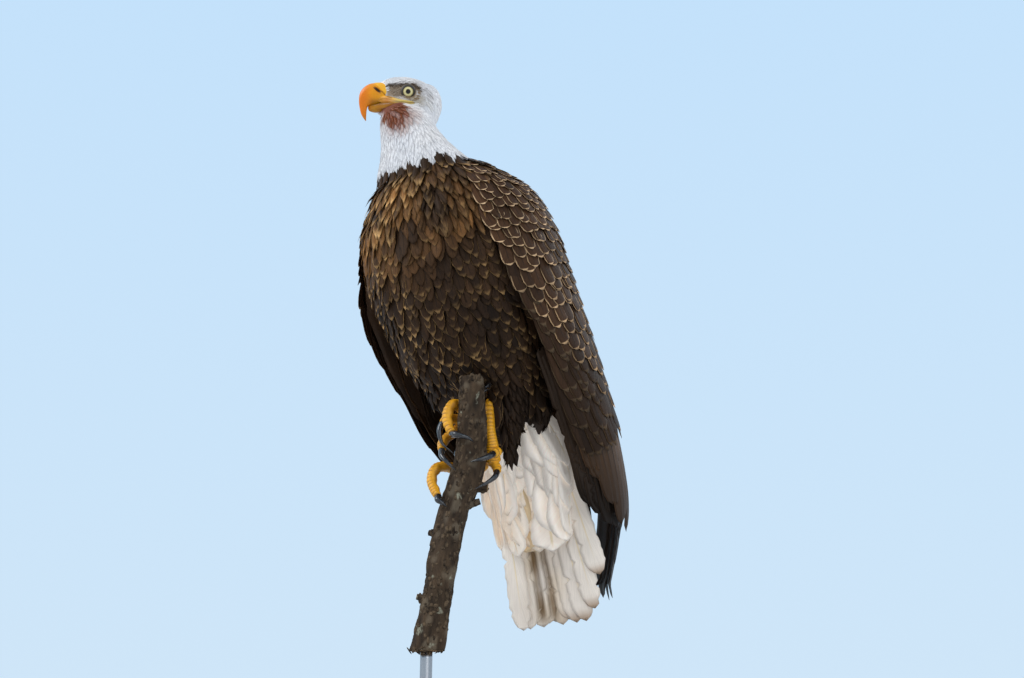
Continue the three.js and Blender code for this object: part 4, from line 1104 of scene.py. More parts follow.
w, angle = scattered(tailRows(), tailCovertLook)
w = np.clip(w, 0, 1)
# painted light: the coverts are painted brighter than the same white on the tail, against the wing's shade
tint = np.maximum(tailCoat(underTailAt(w + 0.25, angle, 0)), tailLook["warm"]) * tailCovertLook["bright"]
rowCoat(
    "coat_under_tail", underTailAt, w, angle, *sizesAt(tailCovertLook, w), tailCovertLook, tint, whiteRim(tint),
    tailVane, "feathers_white",
)
upper = onNodes("tail_coverts_upper") & (skinZ > 0.4)
roots = spread(upper | onNodes("trunk") & vent, upperTailLook)
# painted light: these coverts are painted brighter too
tint = tailCoat(roots) * upperTailLook["bright"]
layFeathers("coat_upper_tail", roots, upperTailLook, tint, whiteRim(tint), tailVane, "feathers_white")

print("long feathers")
secondaries = [  # root w and angle, tip w and angle
    (0.42, -13, 0.78, -18), (0.42, -4, 0.84, -10), (0.42, 10, 0.885, 1), (0.42, 26, 0.9, 16),
    (0.42, 43, 0.885, 32), (0.42, 60, 0.845, 49), (0.42, 77, 0.79, 67),
]
primaries = [
    (0.5, -17, 0.83, -24), (0.5, -10, 0.855, -18), (0.5, -2, 0.88, -8), (0.5, 8, 0.89, 5), (0.5, 18, 0.9, 18),
    (0.5, 26, 0.91, 28), (0.5, 31, 1.03, 36), (0.5, 36, 1.035, 48), (0.5, 41, 1.03, 60), (0.5, 47, 1.01, 73),
]
tertials = [
    (0.44, 70, 0.76, 72), (0.43, 80, 0.8, 81), (0.42, 90, 0.82, 90), (0.43, 100, 0.8, 99), (0.44, 110, 0.76, 107),
]
flightLook = {
    "rows": 44, "tipStart": 0.82, "tipPower": 2.2, "rootShare": 0.6, "half": (13.5, 17), "splits": 2,
    "ragged": 0.015, "thick": 0.35, "arch": 0.07, "roll": 5, "ridge": 0.5, "vary": 0.12, "rimTone": 2.6,
    "tint": paint(82, 58, 37), "tipTint": paint(54, 39, 27), "shorter": 0.018, "under": 5.5, "step": 0.45, "seed": 61,
}
primaryLook = dict(
    flightLook, half=(16, 21), tipStart=0.86, tipPower=2.4, tint=paint(54, 40, 29), tipTint=paint(32, 25, 20),
    under=13, step=0.5, seed=62,
)
tertialLook = dict(flightLook, roll=0, half=(14, 14), under=3.5, step=0.2, seed=64)
tailFeatherLook = {
    "rows": 56, "tipStart": 0.88, "tipPower": 2.2, "rootShare": 0.5, "half": (16, 18), "splits": 4, "ragged": 0.035,
    "thick": 0.25, "arch": -0.03, "roll": 2, "ridge": 0.4, "vary": 0.02, "rimTone": 1.08,
    "coat": 0.93, "worn": 0.8, "wornTint": paint(136, 104, 70), "seed": 63,
}
acrossVane = np.array([-1, -0.66, -0.3, -0.05, 0.05, 0.3, 0.66, 1])


def longFeathers(name, lines, ups, look, shader, slot, *nodes):
    source = np.random.default_rng(look["seed"])
    n, rows = lines.shape[:2]
    t = np.linspace(0, 1, rows)
    end = np.clip((t - look["tipStart"]) / (1 - look["tipStart"]), 0, 1)
    profile = look["rootShare"] + (1 - look["rootShare"]) * ease(0, 0.35, t)
    profile = profile * np.maximum(1 - end ** look["tipPower"], 0.0) ** 0.5
    wide = [profile[None] * half * mm * source.uniform(0.94, 1.06, (n, 1)) for half in look["half"]]
    for k in (0, 1):  # barbs part here and there, most near the tip
        for i, _ in product(range(n), range(look["splits"])):
            r = int(rows * source.uniform(0.35, 0.97))
            wide[k][i, min(r, rows - 2)] *= source.uniform(0.62, 0.85)
        wide[k] = wide[k] * (1 + look["ragged"] * source.normal(size=(n, rows)) * t)
    lag = look["ragged"] * 0.06 * source.normal(size=(n, rows)) * (t > 0.9)
    roll = np.radians(look["roll"]) * np.ones(n)
    points = leaves(lines, ups, *wide, acrossVane, lag, look["thick"] * mm, look["arch"], roll, look["ridge"] * mm)
    number = source.random(n)
    shade = 1 + look["vary"] * source.normal(size=(n, 1, 1))
    spots = leafSpots(acrossVane, t)
    if "coat" in look:  # a tail feather takes the tail's own marks, and its tip is worn brown
        flat = points.reshape(-1, 3)
        farSide = ease(-0.3, 0.5, alongTail(flat)[1].reshape(n, -1))
        colour = (tailCoat(flat) * look["coat"]).reshape(points.shape) * shade
        colour = over(colour, look["wornTint"], look["worn"] * ease(0.93, 1.0, spots[:, 1])[None] * farSide)
    else:
        colour = over(look["tint"], look["tipTint"], ease(0.55, 1.0, spots[:, 1]))[None] * shade
    uv = np.empty((n, len(spots), 2))
    uv[..., 0] = ((np.arange(n) + 0.5) / n)[:, None] + spots[:, 0] * 0.45 / n
    uv[..., 1] = 0.02 + 0.96 * spots[:, 1]
    piece = leafPiece(name, points, t, acrossVane, number, colour, colour * look["rimTone"], uv)
    finishPiece(piece, shader, slot, *nodes)


def layFlight(name, sign, table, look, *nodes):
    table = np.array(table, float)
    between = (table[:-1] + table[1:]) / 2 - [0, 0, look["shorter"], 0]  # a shorter feather between each two
    table = np.insert(table, np.arange(1, len(table)), between, axis=0)
    t = np.linspace(0, 1, look["rows"])
    w = table[:, 0:1] + (table[:, 2:3] - table[:, 0:1]) * t
    angle = table[:, 1:2] + (table[:, 3:4] - table[:, 1:2]) * t
    order = np.arange(len(table))[::-1, None]  # those nearest the back lie on top
    deep = look["under"] + look["step"] * order + 12 * ease(0.3, 0, t)
    lines = cloakPoint(sign, w, angle, deep)
    ups = unit(cloakPoint(sign, w, angle, deep - 10) - lines)
    look = dict(look, roll=-look["roll"] * sign, half=look["half"][::sign])
    longFeathers(name, lines, ups, look, flightVane, "flight_feathers", *nodes)


closed = [(root, angle, min(tip, 0.95), end) for root, angle, tip, end in primaries]  # the right wing's tips
for side, sign, outer in (("left", 1, primaries), ("right", -1, closed)):
    layFlight(f"wing_{side}_secondary_vanes", sign, secondaries, flightLook, f"wing_{side}_secondaries")
    layFlight(f"wing_{side}_primary_vanes", sign, outer, primaryLook, f"wing_{side}_primaries")
layFlight("tertial_vanes", 1, tertials, tertialLook)


def tailLines():
    back = np.cross(tailSide, tailWay)
    t = np.linspace(0, 1, tailFeatherLook["rows"])[:, None]
    lines, count, half = [], tail["count"], tail["rootHalf"]
    for i in range(count):
        k = 2 * i / (count - 1) - 1
        left = 1 if k > 0 else 0
        splay = {1: tail["outerSplay"], 2: tail["outerSplay"] * 0.6, 3: tail["outerSplay"] * 0.25}.get(count - i, 0)
        across = k * half + (k * tail["tipHalf"][left] + splay - k * half) * t
        length = 0.985 - tail["shorter"][left] * k ** 8 + 0.012 * math.sin(i * 2.4)
        # the middle pair lies on the back of the tail, each outer one lower
        lift = 5 * t * (1 - t) - tail["arch"] * k * k * t - 3.2 * abs(k) + 1.6
        lines.append(tail["root"] + tailDown * t * length + tailSide * across + back * lift)
    lines = np.array(lines) * mm
    return lines, np.zeros_like(lines) - back


longFeathers("tail_vanes", *tailLines(), tailFeatherLook, tailVane, "feathers_white", "tail_feathers")

print("bill, cere and eyes")
billLook = {
    "sides": 72, "rings": 120, "cereRings": 40, "lowerSides": 48, "stripRings": 90, "stripSides": 28,
    "jawRings": 60, "jawSides": 24, "lowerRings": 60, "lowerTip": 8, "cereEnd": (0.235, 0.372),
    "orange": paint(228, 122, 0), "yellow": paint(226, 160, 2), "deep": paint(200, 102, 0),
    # shade is painted shade, nostrilCreaseShade painted shade along the crease from the nostril, nostril the painted
    # dark inside the nostril
    "shade": paint(104, 66, 10), "tip": paint(150, 112, 40), "cere": paint(234, 174, 20),
    "lip": paint(196, 178, 96), "nostrilCreaseShade": paint(96, 56, 8),
    "nostril": paint(30, 16, 6), "nostrilPlace": (44.5, -1.2), "nostrilSize": (6.2, 2.3), "nostrilTilt": 40,
    "nostrilDeep": 2.6, "pinch": 0.05, "mouthPinch": 0.3,
    "nostrilLine": [(50, 2), (44, -1), (38.1, -3.6), (33.7, -8.3), (29.4, -11.7), (25, -14)],
}
gapeLine = np.array([  # the cere's fleshy corners: x, y, z, half height, half depth
    [43, 12.0, -16.0, 2.2, 1.2], [37, 14.4, -15.0, 5.4, 2.2], [29.5, 20.4, -15.6, 5.2, 3.0],
    [20.5, 28.4, -18.0, 4.2, 3.4], [11.5, 35.6, -20.0, 3.4, 2.8], [2, 38.2, -20.9, 2.7, 2.4],
    [-4, 37.8, -21.1, 1.9, 1.8], [-8, 36.4, -21.2, 0.5, 0.5],
])
jawLine = np.array([  # the jaw's sides run back under the corners of the mouth
    [51, 4.5, -24.5, 3.2, 2.0], [43, 9.6, -24.2, 4.4, 2.6], [36, 13.8, -23.6, 4.4, 3.0],
    [29.5, 19.2, -22.8, 3.8, 3.2], [21, 26.2, -22.2, 2.8, 3.0], [14, 31.6, -22.0, 1.4, 1.8],
])


def bent(v, power):  # a sine or cosine that makes a section fuller below a power of 1
    return np.sign(v) * np.abs(v) ** power


def billRings(table, start, end, count, swell=0.0):
    # the end may differ round the section, so a border can run aslant
    a = around(billLook["sides"])
    s = stationAt(table, start + (end - start + 0 * a) * np.linspace(0, 1, count)[:, None])
    ridge, edge = s[..., 0:2], s[..., 2:4]
    middle, up = (ridge + edge) / 2, ridge - edge
    half = np.linalg.norm(up, axis=-1, keepdims=True) / 2
    power = np.where(np.sin(a) < -0.01, 0.62, 0.96)
    ca, sa = bent(np.cos(a), power), bent(np.sin(a), power)
    # the sides pinch in a little under the ridge and flare to the cutting edge
    pinch = 1 - billLook["pinch"] * np.exp(-((sa - 0.35) / 0.3) ** 2)
    flat = middle + up / (2 * half) * (sa[:, None] * (half + swell))
    return np.stack([flat[..., 0], ca * pinch * (s[..., 4] + swell), flat[..., 1]], -1)


def nostrilMask(h):
    x, z = h[:, 0] - billLook["nostrilPlace"][0], h[:, 2] - billLook["nostrilPlace"][1]
    a = math.radians(billLook["nostrilTilt"])
    along, across = x * math.cos(a) + z * math.sin(a), -x * math.sin(a) + z * math.cos(a)
    return ease(1.25, 0.55, np.hypot(along / billLook["nostrilSize"][0], across / billLook["nostrilSize"][1]))


def mouthLine(h):  # 1 on the line between the lips
    line = np.interp(h[:, 0], [-8, 4, 14, 24, 36, 47], [-21.2, -21.2, -20.4, -18.4, -16.6, -18.5])
    return ease(0.9, 0.25, np.abs(h[:, 2] - line)) * ease(30, 22, h[:, 0])


def billTint(h, part):
    x, z, look = h[:, 0], h[:, 2], billLook
    colour = over(look["yellow"], look["orange"], 0.15 + 0.85 * ease(46, 66, x))
    colour = over(colour, look["deep"], patches(0.2, 0.35, h, 5.0))
    if part == "lower":
        # painted shade over the lower mandible
        colour = over(colour, look["shade"], 0.5 + 0.35 * ease(-25, -21, z))
    if part == "cere":
        cere = over(look["cere"], look["orange"], patches(0.15, 0.35, h, 5.0))
        colour = over(cere, colour, ease(-8, -13, z))
        colour = over(colour, look["lip"], ease(32, 14, x) * 0.85)
        # painted shade on the cere's lower front and along the line between the lips
        colour = over(colour, look["shade"], 0.4 * ease(20, 30, x) * ease(-10, -14, z))
        colour = over(colour, look["shade"], mouthLine(h) * 0.85)
    if part == "upper":
        # painted shade along the upper bill's lower sides
        colour = over(colour, look["shade"], ease(-11, -19, z) * ease(60, 50, x) * 0.55)
        colour = over(colour, look["tip"], ease(-34, -44, z) * 0.5)
    if part != "lower":
        # painted shade along the crease from the nostril down towards the gape
        colour = over(colour, look["nostrilCreaseShade"], nearLine(h, look["nostrilLine"], 0.8) * 0.75)
    # the nostril painted almost black: painted shade inside it
    return over(colour, look["nostril"], nostrilMask(h) * 0.97)


def dented(verts, quads, tris):  # with the nostrils sunk in
    hole = nostrilMask(verts) * (np.abs(verts[:, 1]) > 5)
    side = np.sign(verts[:, 1]) * hole * billLook["nostrilDeep"]
    return verts - side[:, None] * [0, 1, 0], quads, tris


def sideStrips(line, count, sides, pinch=0.0):  # a fleshy strip along each side of the head
    s = stationAt(line, np.linspace(0, 1, count))
    a = around(sides)
    for sign in (1, -1):
        off = np.angle(np.exp(1j * (a - 0.12 * sign)))  # the mouth line parts the upper lip from the lower
        radius = 1 / np.hypot(np.cos(a) / s[:, 4:5], np.sin(a) / s[:, 3:4])
        yield tube(s[:, :3] * [1, sign, 1], radius * (1 - pinch * np.exp(-(off / 0.2) ** 2)), [0, sign, 0], sides)


def headPiece(name, part, shells, shader, slot, node):
    verts, quads, tris = joinParts([facedOut(*shell) for shell in shells])
    piece = makePiece(name, fromHead(verts), [quads, tris], tint=billTint(verts, part))
    finishPiece(piece, shader, slot, node)


hornShader = grained(
    "bill horn", paint(226, 150, 30), scale=260.0, detail=4.0, stretch=(1, 1, 3), tone=(0.3, 0.85), bump=0.12,
    Roughness=0.38, Coat_Weight=0.1, Coat_Roughness=0.25, Specular_IOR_Level=0.3,
)
cereShader = grained("cere skin", paint(232, 186, 66), scale=900.0, tone=(0.35, 0.82), bump=0.35, Roughness=0.5)
headPiece(
    "bill_top", "upper", [dented(*capped(billRings(bill, 0.02, 1.0, billLook["rings"])))], hornShader, "bill",
    "bill_upper",
)

# the cere bulges a little over the horn, and its fleshy corners run back under the eyes
cereRows = np.concatenate([[[27, 9.5, 8, -18.5, 25], [32, 10.6, 15, -19, 20.5]], bill])
low, high = billLook["cereEnd"]
slant = low + (high - low) * (0.5 + 0.5 * np.sin(around(billLook["sides"]))) ** 1.4  # further down the ridge
rings = billRings(cereRows, 0.02, slant, billLook["cereRings"], 0.4)
lip = ease(0, 1, np.linspace(0, 5, billLook["cereRings"])[::-1])[:, None, None]  # the front rim rolls down
centre = rings.mean(1, keepdims=True)
rings = centre + (rings - centre) * (1 - 0.05 * (1 - lip))
strips = sideStrips(gapeLine, billLook["stripRings"], billLook["stripSides"], billLook["mouthPinch"])
headPiece("cere_skin", "cere", [dented(*capped(rings)), *strips], cereShader, "cere", "cere")

count, tip = billLook["lowerRings"], billLook["lowerTip"]
s = stationAt(lowerBill, np.linspace(0, 1, count))
a = around(billLook["lowerSides"])
shrink = np.concatenate([np.ones(count - tip), np.sqrt(np.linspace(1, 0.02, tip))])[:, None]  # rounds the tip
y = bent(np.cos(a), 0.9) * s[:, 3:4] * shrink
z = (s[:, 1:2] + s[:, 2:3]) / 2 + bent(np.sin(a), 0.9) * (s[:, 1:2] - s[:, 2:3]) / 2 * shrink
strips = sideStrips(jawLine, billLook["jawRings"], billLook["jawSides"])
headPiece(
    "bill_bottom", "lower", [capped(np.stack([s[:, 0:1] + 0 * a, y, z], -1)), *strips], hornShader, "bill",
    "bill_lower",
)

eyeLook = {
    "look": (0.06, 0.985, -0.13), "sides": 48, "iris": 7.3, "pupil": 3.3, "spokes": 9,
    "irisTint": paint(212, 203, 150), "irisEdge": paint(136, 120, 70), "black": paint(8, 7, 7),
    "lidSides": 56, "lidRings": 18, "lidInner": 7.5, "lidOuter": 11.6, "lidHeight": 0.9, "lidDrop": 1.1,
    "ring": paint(34, 28, 24), "lidEdge": paint(96, 82, 64),
}


def ballRings(sign, reach, rise, sides):
    # rings about the eye's own line of sight, at these distances from it and heights along it
    look = unit(np.array(eyeLook["look"]) * [1, sign, 1])
    across = unit(np.cross(look, [0, 0, 1.0]))
    a = around(sides)[None, :, None]
    ring = np.cos(a) * across + np.sin(a) * np.cross(across, look)
    centre = np.array([eyeBall["x"], sign * eyeBall["y"], eyeBall["z"]])
    return centre + ring * reach[:, None, None] + look * rise[:, None, None]


eyeShader = Shader(
    "eye", eyeLook["irisTint"], Roughness=0.2, Specular_IOR_Level=0.2, Coat_Weight=0.35, Coat_Roughness=0.02,
)
eyeShader.tone(eyeShader.noise(eyeShader.attribute("spoke", "Vector"), 1.0), 0.5, 0.75)
lidShader = grained("lid skin", eyeLook["ring"], scale=1200.0, tone=(0.5, 0.75), bump=0.4, deep=0.0005, Roughness=0.55)
radius, iris, pupil = eyeBall["radius"], eyeLook["iris"], eyeLook["pupil"]
polar = np.concatenate([np.linspace(0.001, 0.9, 60), np.linspace(0.95, math.pi - 0.001, 24)])
for side, sign in (("left", 1), ("right", -1)):
    sides = eyeLook["sides"]
    rings = ballRings(sign, np.sin(polar) * radius, np.cos(polar) * radius, sides)
    reach = np.concatenate([np.repeat(np.sin(polar) * radius, sides), [0, 30]])
    front = np.concatenate([np.repeat(polar < 1.5, sides), [True, False]])
    edge = ease(0.72, 1.0, reach / iris) + 0.5 * ease(0.62, 0.46, reach / iris)
    black = np.maximum(ease(pupil + 0.25, pupil - 0.1, reach), ease(iris - 0.2, iris + 0.4, reach))
    tint = over(eyeLook["irisTint"], eyeLook["irisEdge"], np.clip(edge, 0, 1))
    tint = over(tint, eyeLook["black"], np.where(front, black, 1))
    a = around(sides)
    spoke = np.tile(np.stack([np.cos(a), np.sin(a), 0 * a], -1) * eyeLook["spokes"], (len(polar), 1))
    spoke = np.concatenate([spoke, np.zeros((2, 3))])
    verts, quads, tris = facedOut(*capped(rings))
    piece = makePiece(f"eyeball_{side}", fromHead(verts), [quads, tris], tint=tint, spoke=spoke)
    finishPiece(piece, eyeShader, "eye", f"eye_{side}")
    # the lids: a soft rim round the opening that sinks into the face
    sides, f = eyeLook["lidSides"], np.linspace(0, 1, eyeLook["lidRings"])
    reach = eyeLook["lidInner"] + (eyeLook["lidOuter"] - eyeLook["lidInner"]) * f
    rest = np.sqrt(radius ** 2 - np.minimum(reach, radius * 0.985) ** 2)
    swell = eyeLook["lidHeight"] * np.sin(np.clip(f * 1.15, 0, 1) * math.pi) ** 0.8 + 0.25
    both = np.concatenate([f, f[::-1]])  # out over the top and back underneath
    rise = np.concatenate([rest + swell, rest[::-1] - 0.9])
    rings = ballRings(sign, np.concatenate([reach, reach[::-1]]), rise, sides)
    rings[..., 2] -= eyeLook["lidDrop"] * ease(0.2, 0.9, np.sin(around(sides))) * (1 - both)[:, None]
    quads = ringQuads(len(both), sides, True)
    verts, quads, tris = facedOut(rings.reshape(-1, 3), quads, np.zeros((0, 3), int))
    tint = over(eyeLook["ring"], eyeLook["lidEdge"], ease(0.35, 1, np.repeat(both, sides)))
    finishPiece(makePiece(f"lids_{side}", fromHead(verts), [quads], tint=tint), lidShader, "feathers_white")

print("legs and feet")
branch = np.array([  # x, y, z, radius
    [-17, -83, 150, 23.5], [-8, -74, 216, 20], [0, -68, 281, 21], [8, -60, 335, 21.5], [18, -53, 372, 24],
    [25, -50, 402, 22], [30, -51, 431, 21], [36, -57, 466, 19], [45, -69, 512, 16.5],
])
toes = {  # for each toe: its pads and its claw as (bearing, height, distance off the bark), and how thick it is
    "left": [
        ([(58, 416, 9), (42, 415, 14), (22, 410, 11)], [(0, 403, 12), (338, 398, 8), (318, 396, 1)], 8),
        ([(62, 404, 9), (52, 396, 16), (42, 388, 17)], [(26, 378, 17), (12, 368, 11), (0, 361, 1)], 7.5),
        ([(85, 402, 11), (120, 400, 14), (155, 399, 16), (190, 399, 20), (211, 391, 23), (220, 376, 21),
          (232, 361, 13), (246, 351, 7)], [(260, 345, 10), (274, 340, 7), (285, 336, 1)], 8.5),
        ([(92, 412, 12), (122, 424, 14), (144, 427, 9)], [(162, 424, 12), (176, 416, 9), (186, 408, 1)], 8),
    ],
    "right": [
        ([(152, 474, 12), (176, 482, 11), (198, 479, 12), (219, 466, 15), (231, 451, 14), (247, 436, 9)],
         [(275, 431, 14), (303, 426, 10), (322, 422, 1)], 8.5),
        ([(158, 464, 12), (188, 464, 20), (212, 455, 21)], [(222, 442, 24), (229, 425, 19), (238, 411, 3)], 8),
        ([(158, 456, 12), (180, 444, 18), (203, 430, 21), (221, 417, 18)],
         [(240, 405, 17), (260, 394, 11), (274, 385, 1)], 8),
        ([(142, 474, 12), (126, 490, 15), (108, 500, 10)], [(88, 506, 13), (66, 506, 9), (50, 500, 1)], 8.5),
    ],
}
shanks = {  # the shank's line and its radii
    "left": ([(38, 6, 560), (34, -16, 505), (42, -28, 455), (46, -26, 424), (38, -17, 404)], [9, 8, 7.5, 9, 12]),
    "right": ([(-22, -14, 570), (-14, -20, 540), (2, -32, 506), (13, -41, 480), (9, -40, 462)], [9, 8.5, 7.5, 9.5, 12]),
}
footLook = {
    # dark is painted shade, in the creases between scutes and along the inner side
    "skin": paint(240, 172, 26), "dark": paint(122, 66, 10), "sides": 28, "scute": 5.6, "step": 1.25, "pad": 1.3,
    "bead": 0.25, "inset": 1.1, "legRings": 150, "toeRings": 110, "toeTaper": [1, 0.92, 0.86, 0.74],
    "claw": paint(28, 26, 26), "clawDark": paint(18, 17, 18), "clawPale": paint(54, 51, 52),
    "clawRings": 64, "clawSides": 20, "clawTaper": [0.66, 0.52, 0.3, 0.06], "clawFlat": 0.16,
}


def branchAt(z):
    z = np.asarray(z, float)
    first = np.clip(np.searchsorted(branch[:, 2], z), 1, len(branch) - 1)
    f = (z - branch[first - 1, 2]) / (branch[first, 2] - branch[first - 1, 2])
    return stationAt(branch, (first - 1 + f) / (len(branch) - 1))


def besideBranch(steps):  # places given by bearing, height and distance off the bark
    bearing, z, off = np.asarray(steps, float).T
    s = branchAt(z)
    reach, a = s[:, 3] + off, np.radians(bearing)
    return np.stack([s[:, 0] + np.cos(a) * reach, s[:, 1] + np.sin(a) * reach, z], -1)


def outFromBranch(points):
    s = branchAt(np.clip(points[:, 2], branch[0, 2], branch[-1, 2]))
    return unit(np.stack([points[:, 0] - s[:, 0], points[:, 1] - s[:, 1], 0 * s[:, 0]], -1))


def along(values, t):  # one number between evenly spaced ones
    return stationAt(np.array(values, float)[:, None], t)[:, 0]


def scaledLimb(name, path, radii, outwards, knuckles, ends, node):
    # broad scutes step along the outer side, and pads swell on the inner one
    sides, count = footLook["sides"], len(path)
    t, a = np.linspace(0, 1, count), around(sides)
    outer, inner = ease(-0.25, 0.5, np.cos(a))[None], ease(0.25, 0.8, -np.cos(a))[None]
    plates = max(4, round(np.linalg.norm(np.diff(path, axis=0), axis=1).sum() / footLook["scute"]))
    saw = (t * plates) % 1.0
    step = 0.3 + 0.7 * np.sin(saw * math.pi) ** 0.6
    pads = 0.5 + 0.5 * np.cos(t * knuckles * 2 * math.pi)
    beads = np.sin(t * plates * 4 * math.pi)[:, None] * np.sin(a * 9)[None] * footLook["bead"] * (1 - outer)
    grow = step[:, None] * outer * footLook["step"] + pads[:, None] * inner * footLook["pad"] + beads
    tip = np.clip(np.minimum(t, 1 - t) / ends, 0, 1)
    rounded = np.sqrt(np.clip(1 - (1 - tip) ** 2, 0.0004, 1))
    radius = ((radii[:, None] - footLook["inset"]) + grow) * rounded[:, None]
    verts, quads, tris = tube(path, radius, outwards, sides)
    # painted shade in the creases between scutes and along the inner side
    scuteCreaseShade = (ease(0.2, 0.0, saw) + ease(0.8, 1.0, saw))[:, None] * outer
    shade = np.concatenate([(0.8 * scuteCreaseShade + 0.45 * inner).ravel(), [0, 0]])
    shade = np.clip(0.08 + shade + 0.15 * drift(verts, 6.0), 0, 1)
    tint = over(footLook["skin"], footLook["dark"], shade)
    finishPiece(makePiece(name, verts * mm, [quads, tris], tint=tint), footShader, "foot_skin", node)


footShader = Shader("foot skin", footLook["skin"], Roughness=0.42, Coat_Weight=0.1, Coat_Roughness=0.4)
cells = {"Vector": footShader.place(), "Scale": 700.0}
cells = footShader.add("ShaderNodeTexVoronoi", {"feature": "DISTANCE_TO_EDGE"}, cells).between(0.0, 0.12)
grime = footShader.noise(footShader.place(), 160.0)
shade = cells * 0.2 + grime * 0.3 + 0.66
footShader.give(Base_Color=footShader.shaded(footShader.attribute("tint"), shade))
footShader.bump(cells, 0.35, 0.0005)
clawShader = grained(
    "claw horn", footLook["claw"], scale=300.0, pair=(0.3, 0.75, footLook["clawDark"], footLook["clawPale"]),
    bump=0.1, deep=0.0004, Roughness=0.2, Coat_Weight=0.3, Coat_Roughness=0.15,
)

for side in ("left", "right"):
    line, radii = shanks[side]
    t = np.linspace(0, 1, footLook["legRings"])
    path = stationAt(line, t)
    scaledLimb(f"leg_{side}", path, along(radii, t), [0.25, -1, 0], 2, 0.06, f"shank_{side}")
    for number, (toe, claw, thick) in enumerate(toes[side], 1):
        name = f"toe_{side}_{number}"
        t = np.linspace(0, 1, footLook["toeRings"])
        path = stationAt(besideBranch(toe), t)
        radii = along(np.array(footLook["toeTaper"]) * thick, t)
        scaledLimb(f"{name}_skin", path, radii, outFromBranch(path), max(2, len(toe) - 1), 0.09, name)
        t = np.linspace(0, 1, footLook["clawRings"])
        path = stationAt(besideBranch([toe[-1]] + claw), t)
        radii = along(np.array(footLook["clawTaper"]) * thick, t) * np.sqrt(np.clip(t / 0.06, 0.001, 1))
        under = ease(0.3, 1.0, -np.cos(around(footLook["clawSides"])))  # flattened and grooved there
        radii = radii[:, None] * (1 - footLook["clawFlat"] * under)
        verts, quads, tris = tube(path, radii, outFromBranch(path), footLook["clawSides"])
        piece = makePiece(f"talon_{side}_{number}", verts * mm, [quads, tris])
        finishPiece(piece, clawShader, "claw", f"claw_{side}_{number}")

print("perch")
perchLook = {
    "rings": 210, "sides": 110, "stubRings": 26, "stubSides": 18, "stubRoot": 6, "bark": paint(80, 64, 48),
    "dark": paint(40, 31, 23), "pale": paint(132, 120, 102), "paleShare": 0.35, "lichen": paint(156, 156, 138),
    "lichenShare": 0.75, "wood": paint(182, 152, 112), "woodDark": paint(140, 112, 78), "flake": paint(98, 82, 64),
    "stubs": [(36, 370, 9, 6.5, -3), (40, 337, 12, 4.5, 6), (205, 300, 7, 4, 4), (230, 214, 7, 4, 4)],
}  # each stub: bearing, height, length, radius, rise
flakeLook = {"density": 9000.0, "size": 0.0052, "seed": 3}


def barkRidges(points):  # furrows that run along the branch and break up
    run = points * [1, 1, 0.28]
    ridge = drift(run, 2.6) + 0.7 * drift(run, 1.4, 2.0)
    return 0.65 * ridge + 0.8 * drift(points, 9.0, 3.0)


t = np.linspace(0, 1, perchLook["rings"])
s = stationAt(branch, t)
a = around(perchLook["sides"])
way = np.stack([np.cos(a), np.sin(a), 0 * a], -1)[None]
lobes = 1 + 0.05 * np.sin(3 * a + t[:, None] * 9) + 0.03 * np.sin(5 * a)
rings = s[:, None, :3] + way * (s[:, 3:4] * lobes)[..., None]
rough = barkRidges(rings.reshape(-1, 3)).reshape(lobes.shape)
rough = rough * np.clip(np.minimum(t, 1 - t) * 90, 0.25, 1)[:, None]
parts = [capped(rings + way * (rough - 0.7)[..., None])]
heights, cuts = [rough.ravel(), [0, 0]], [0 * rough.ravel(), [1, 1]]  # 1 where sawn wood shows
t, corner = np.linspace(0, 1, perchLook["stubRings"]), around(perchLook["stubSides"])
for bearing, z, length, radius, rise in perchLook["stubs"]:
    s, root = branchAt(z), perchLook["stubRoot"]
    way = np.array([math.cos(math.radians(bearing)), math.sin(math.radians(bearing)), rise / 20])
    path = np.array([s[0], s[1], z]) + way * (s[3] - root) + way * (length + root) * t[:, None]
    knots = 1 + 0.09 * np.sin(5 * corner + bearing)
    parts.append(tube(path, (radius * (1.25 - 0.35 * t))[:, None] * knots, [0, 0, 1], perchLook["stubSides"]))
    count = len(t) * len(corner)
    heights += [np.sin(np.arange(count) * 1.7) * 0.4, [0, 0]]
    cuts += [np.zeros(count), [0.4, 1]]
verts, quads, tris = joinParts(parts)
# darker down in the bark's furrows and lighter on its ridges: darker bark in the furrows, partly painted shade
tint = over(perchLook["dark"], perchLook["bark"], np.clip(0.45 + 0.4 * np.concatenate(heights), 0, 1))
crust = ease(0.55, 0.85, 0.5 + 0.5 * drift(verts, 7.0, 5.0))
tint = over(tint, perchLook["pale"], crust * perchLook["paleShare"])
perch = makePiece("perch", verts * mm, [quads, tris], tint=tint, cut=np.concatenate(cuts))

barkShader = Shader("bark", perchLook["bark"], Roughness=0.9, Specular_IOR_Level=0.25)
fine = barkShader.noise(barkShader.place((1, 1, 0.3)), 420.0, 5.0, 0.65)
blots = barkShader.noise(barkShader.place(), 55.0)
colour = barkShader.tone(fine, 0.9, 0.5)
crusted = blots.between(0.62, 0.7) * fine.between(0.35, 0.6) * perchLook["lichenShare"]
colour = barkShader.mix(crusted, colour, perchLook["lichen"])
grown = {"Vector": barkShader.place(), "Scale": 90.0, "Distortion": 3.0}
grown = barkShader.add("ShaderNodeTexWave", {"wave_type": "RINGS", "rings_direction": "Z"}, grown)
wood = barkShader.mix(grown, perchLook["wood"], perchLook["woodDark"])
barkShader.give(Base_Color=barkShader.mix(barkShader.attribute("cut", "Fac").between(0.03, 0.12), colour, wood))
barkShader.bump(fine, 0.7, 0.002)
finishPiece(perch, barkShader, "bark", "perch_branch")

flakeShader = Shader("bark flakes", perchLook["bark"], Roughness=0.95, Specular_IOR_Level=0.25)
mottle = flakeShader.noise(flakeShader.place(), 130.0).between(0.3, 0.7)
flakeShader.give(Base_Color=flakeShader.mix(mottle, perchLook["dark"], perchLook["flake"]))
flakeShader.bump(flakeShader.noise(flakeShader.place((1, 1, 0.3)), 900.0), 0.5, 0.001)


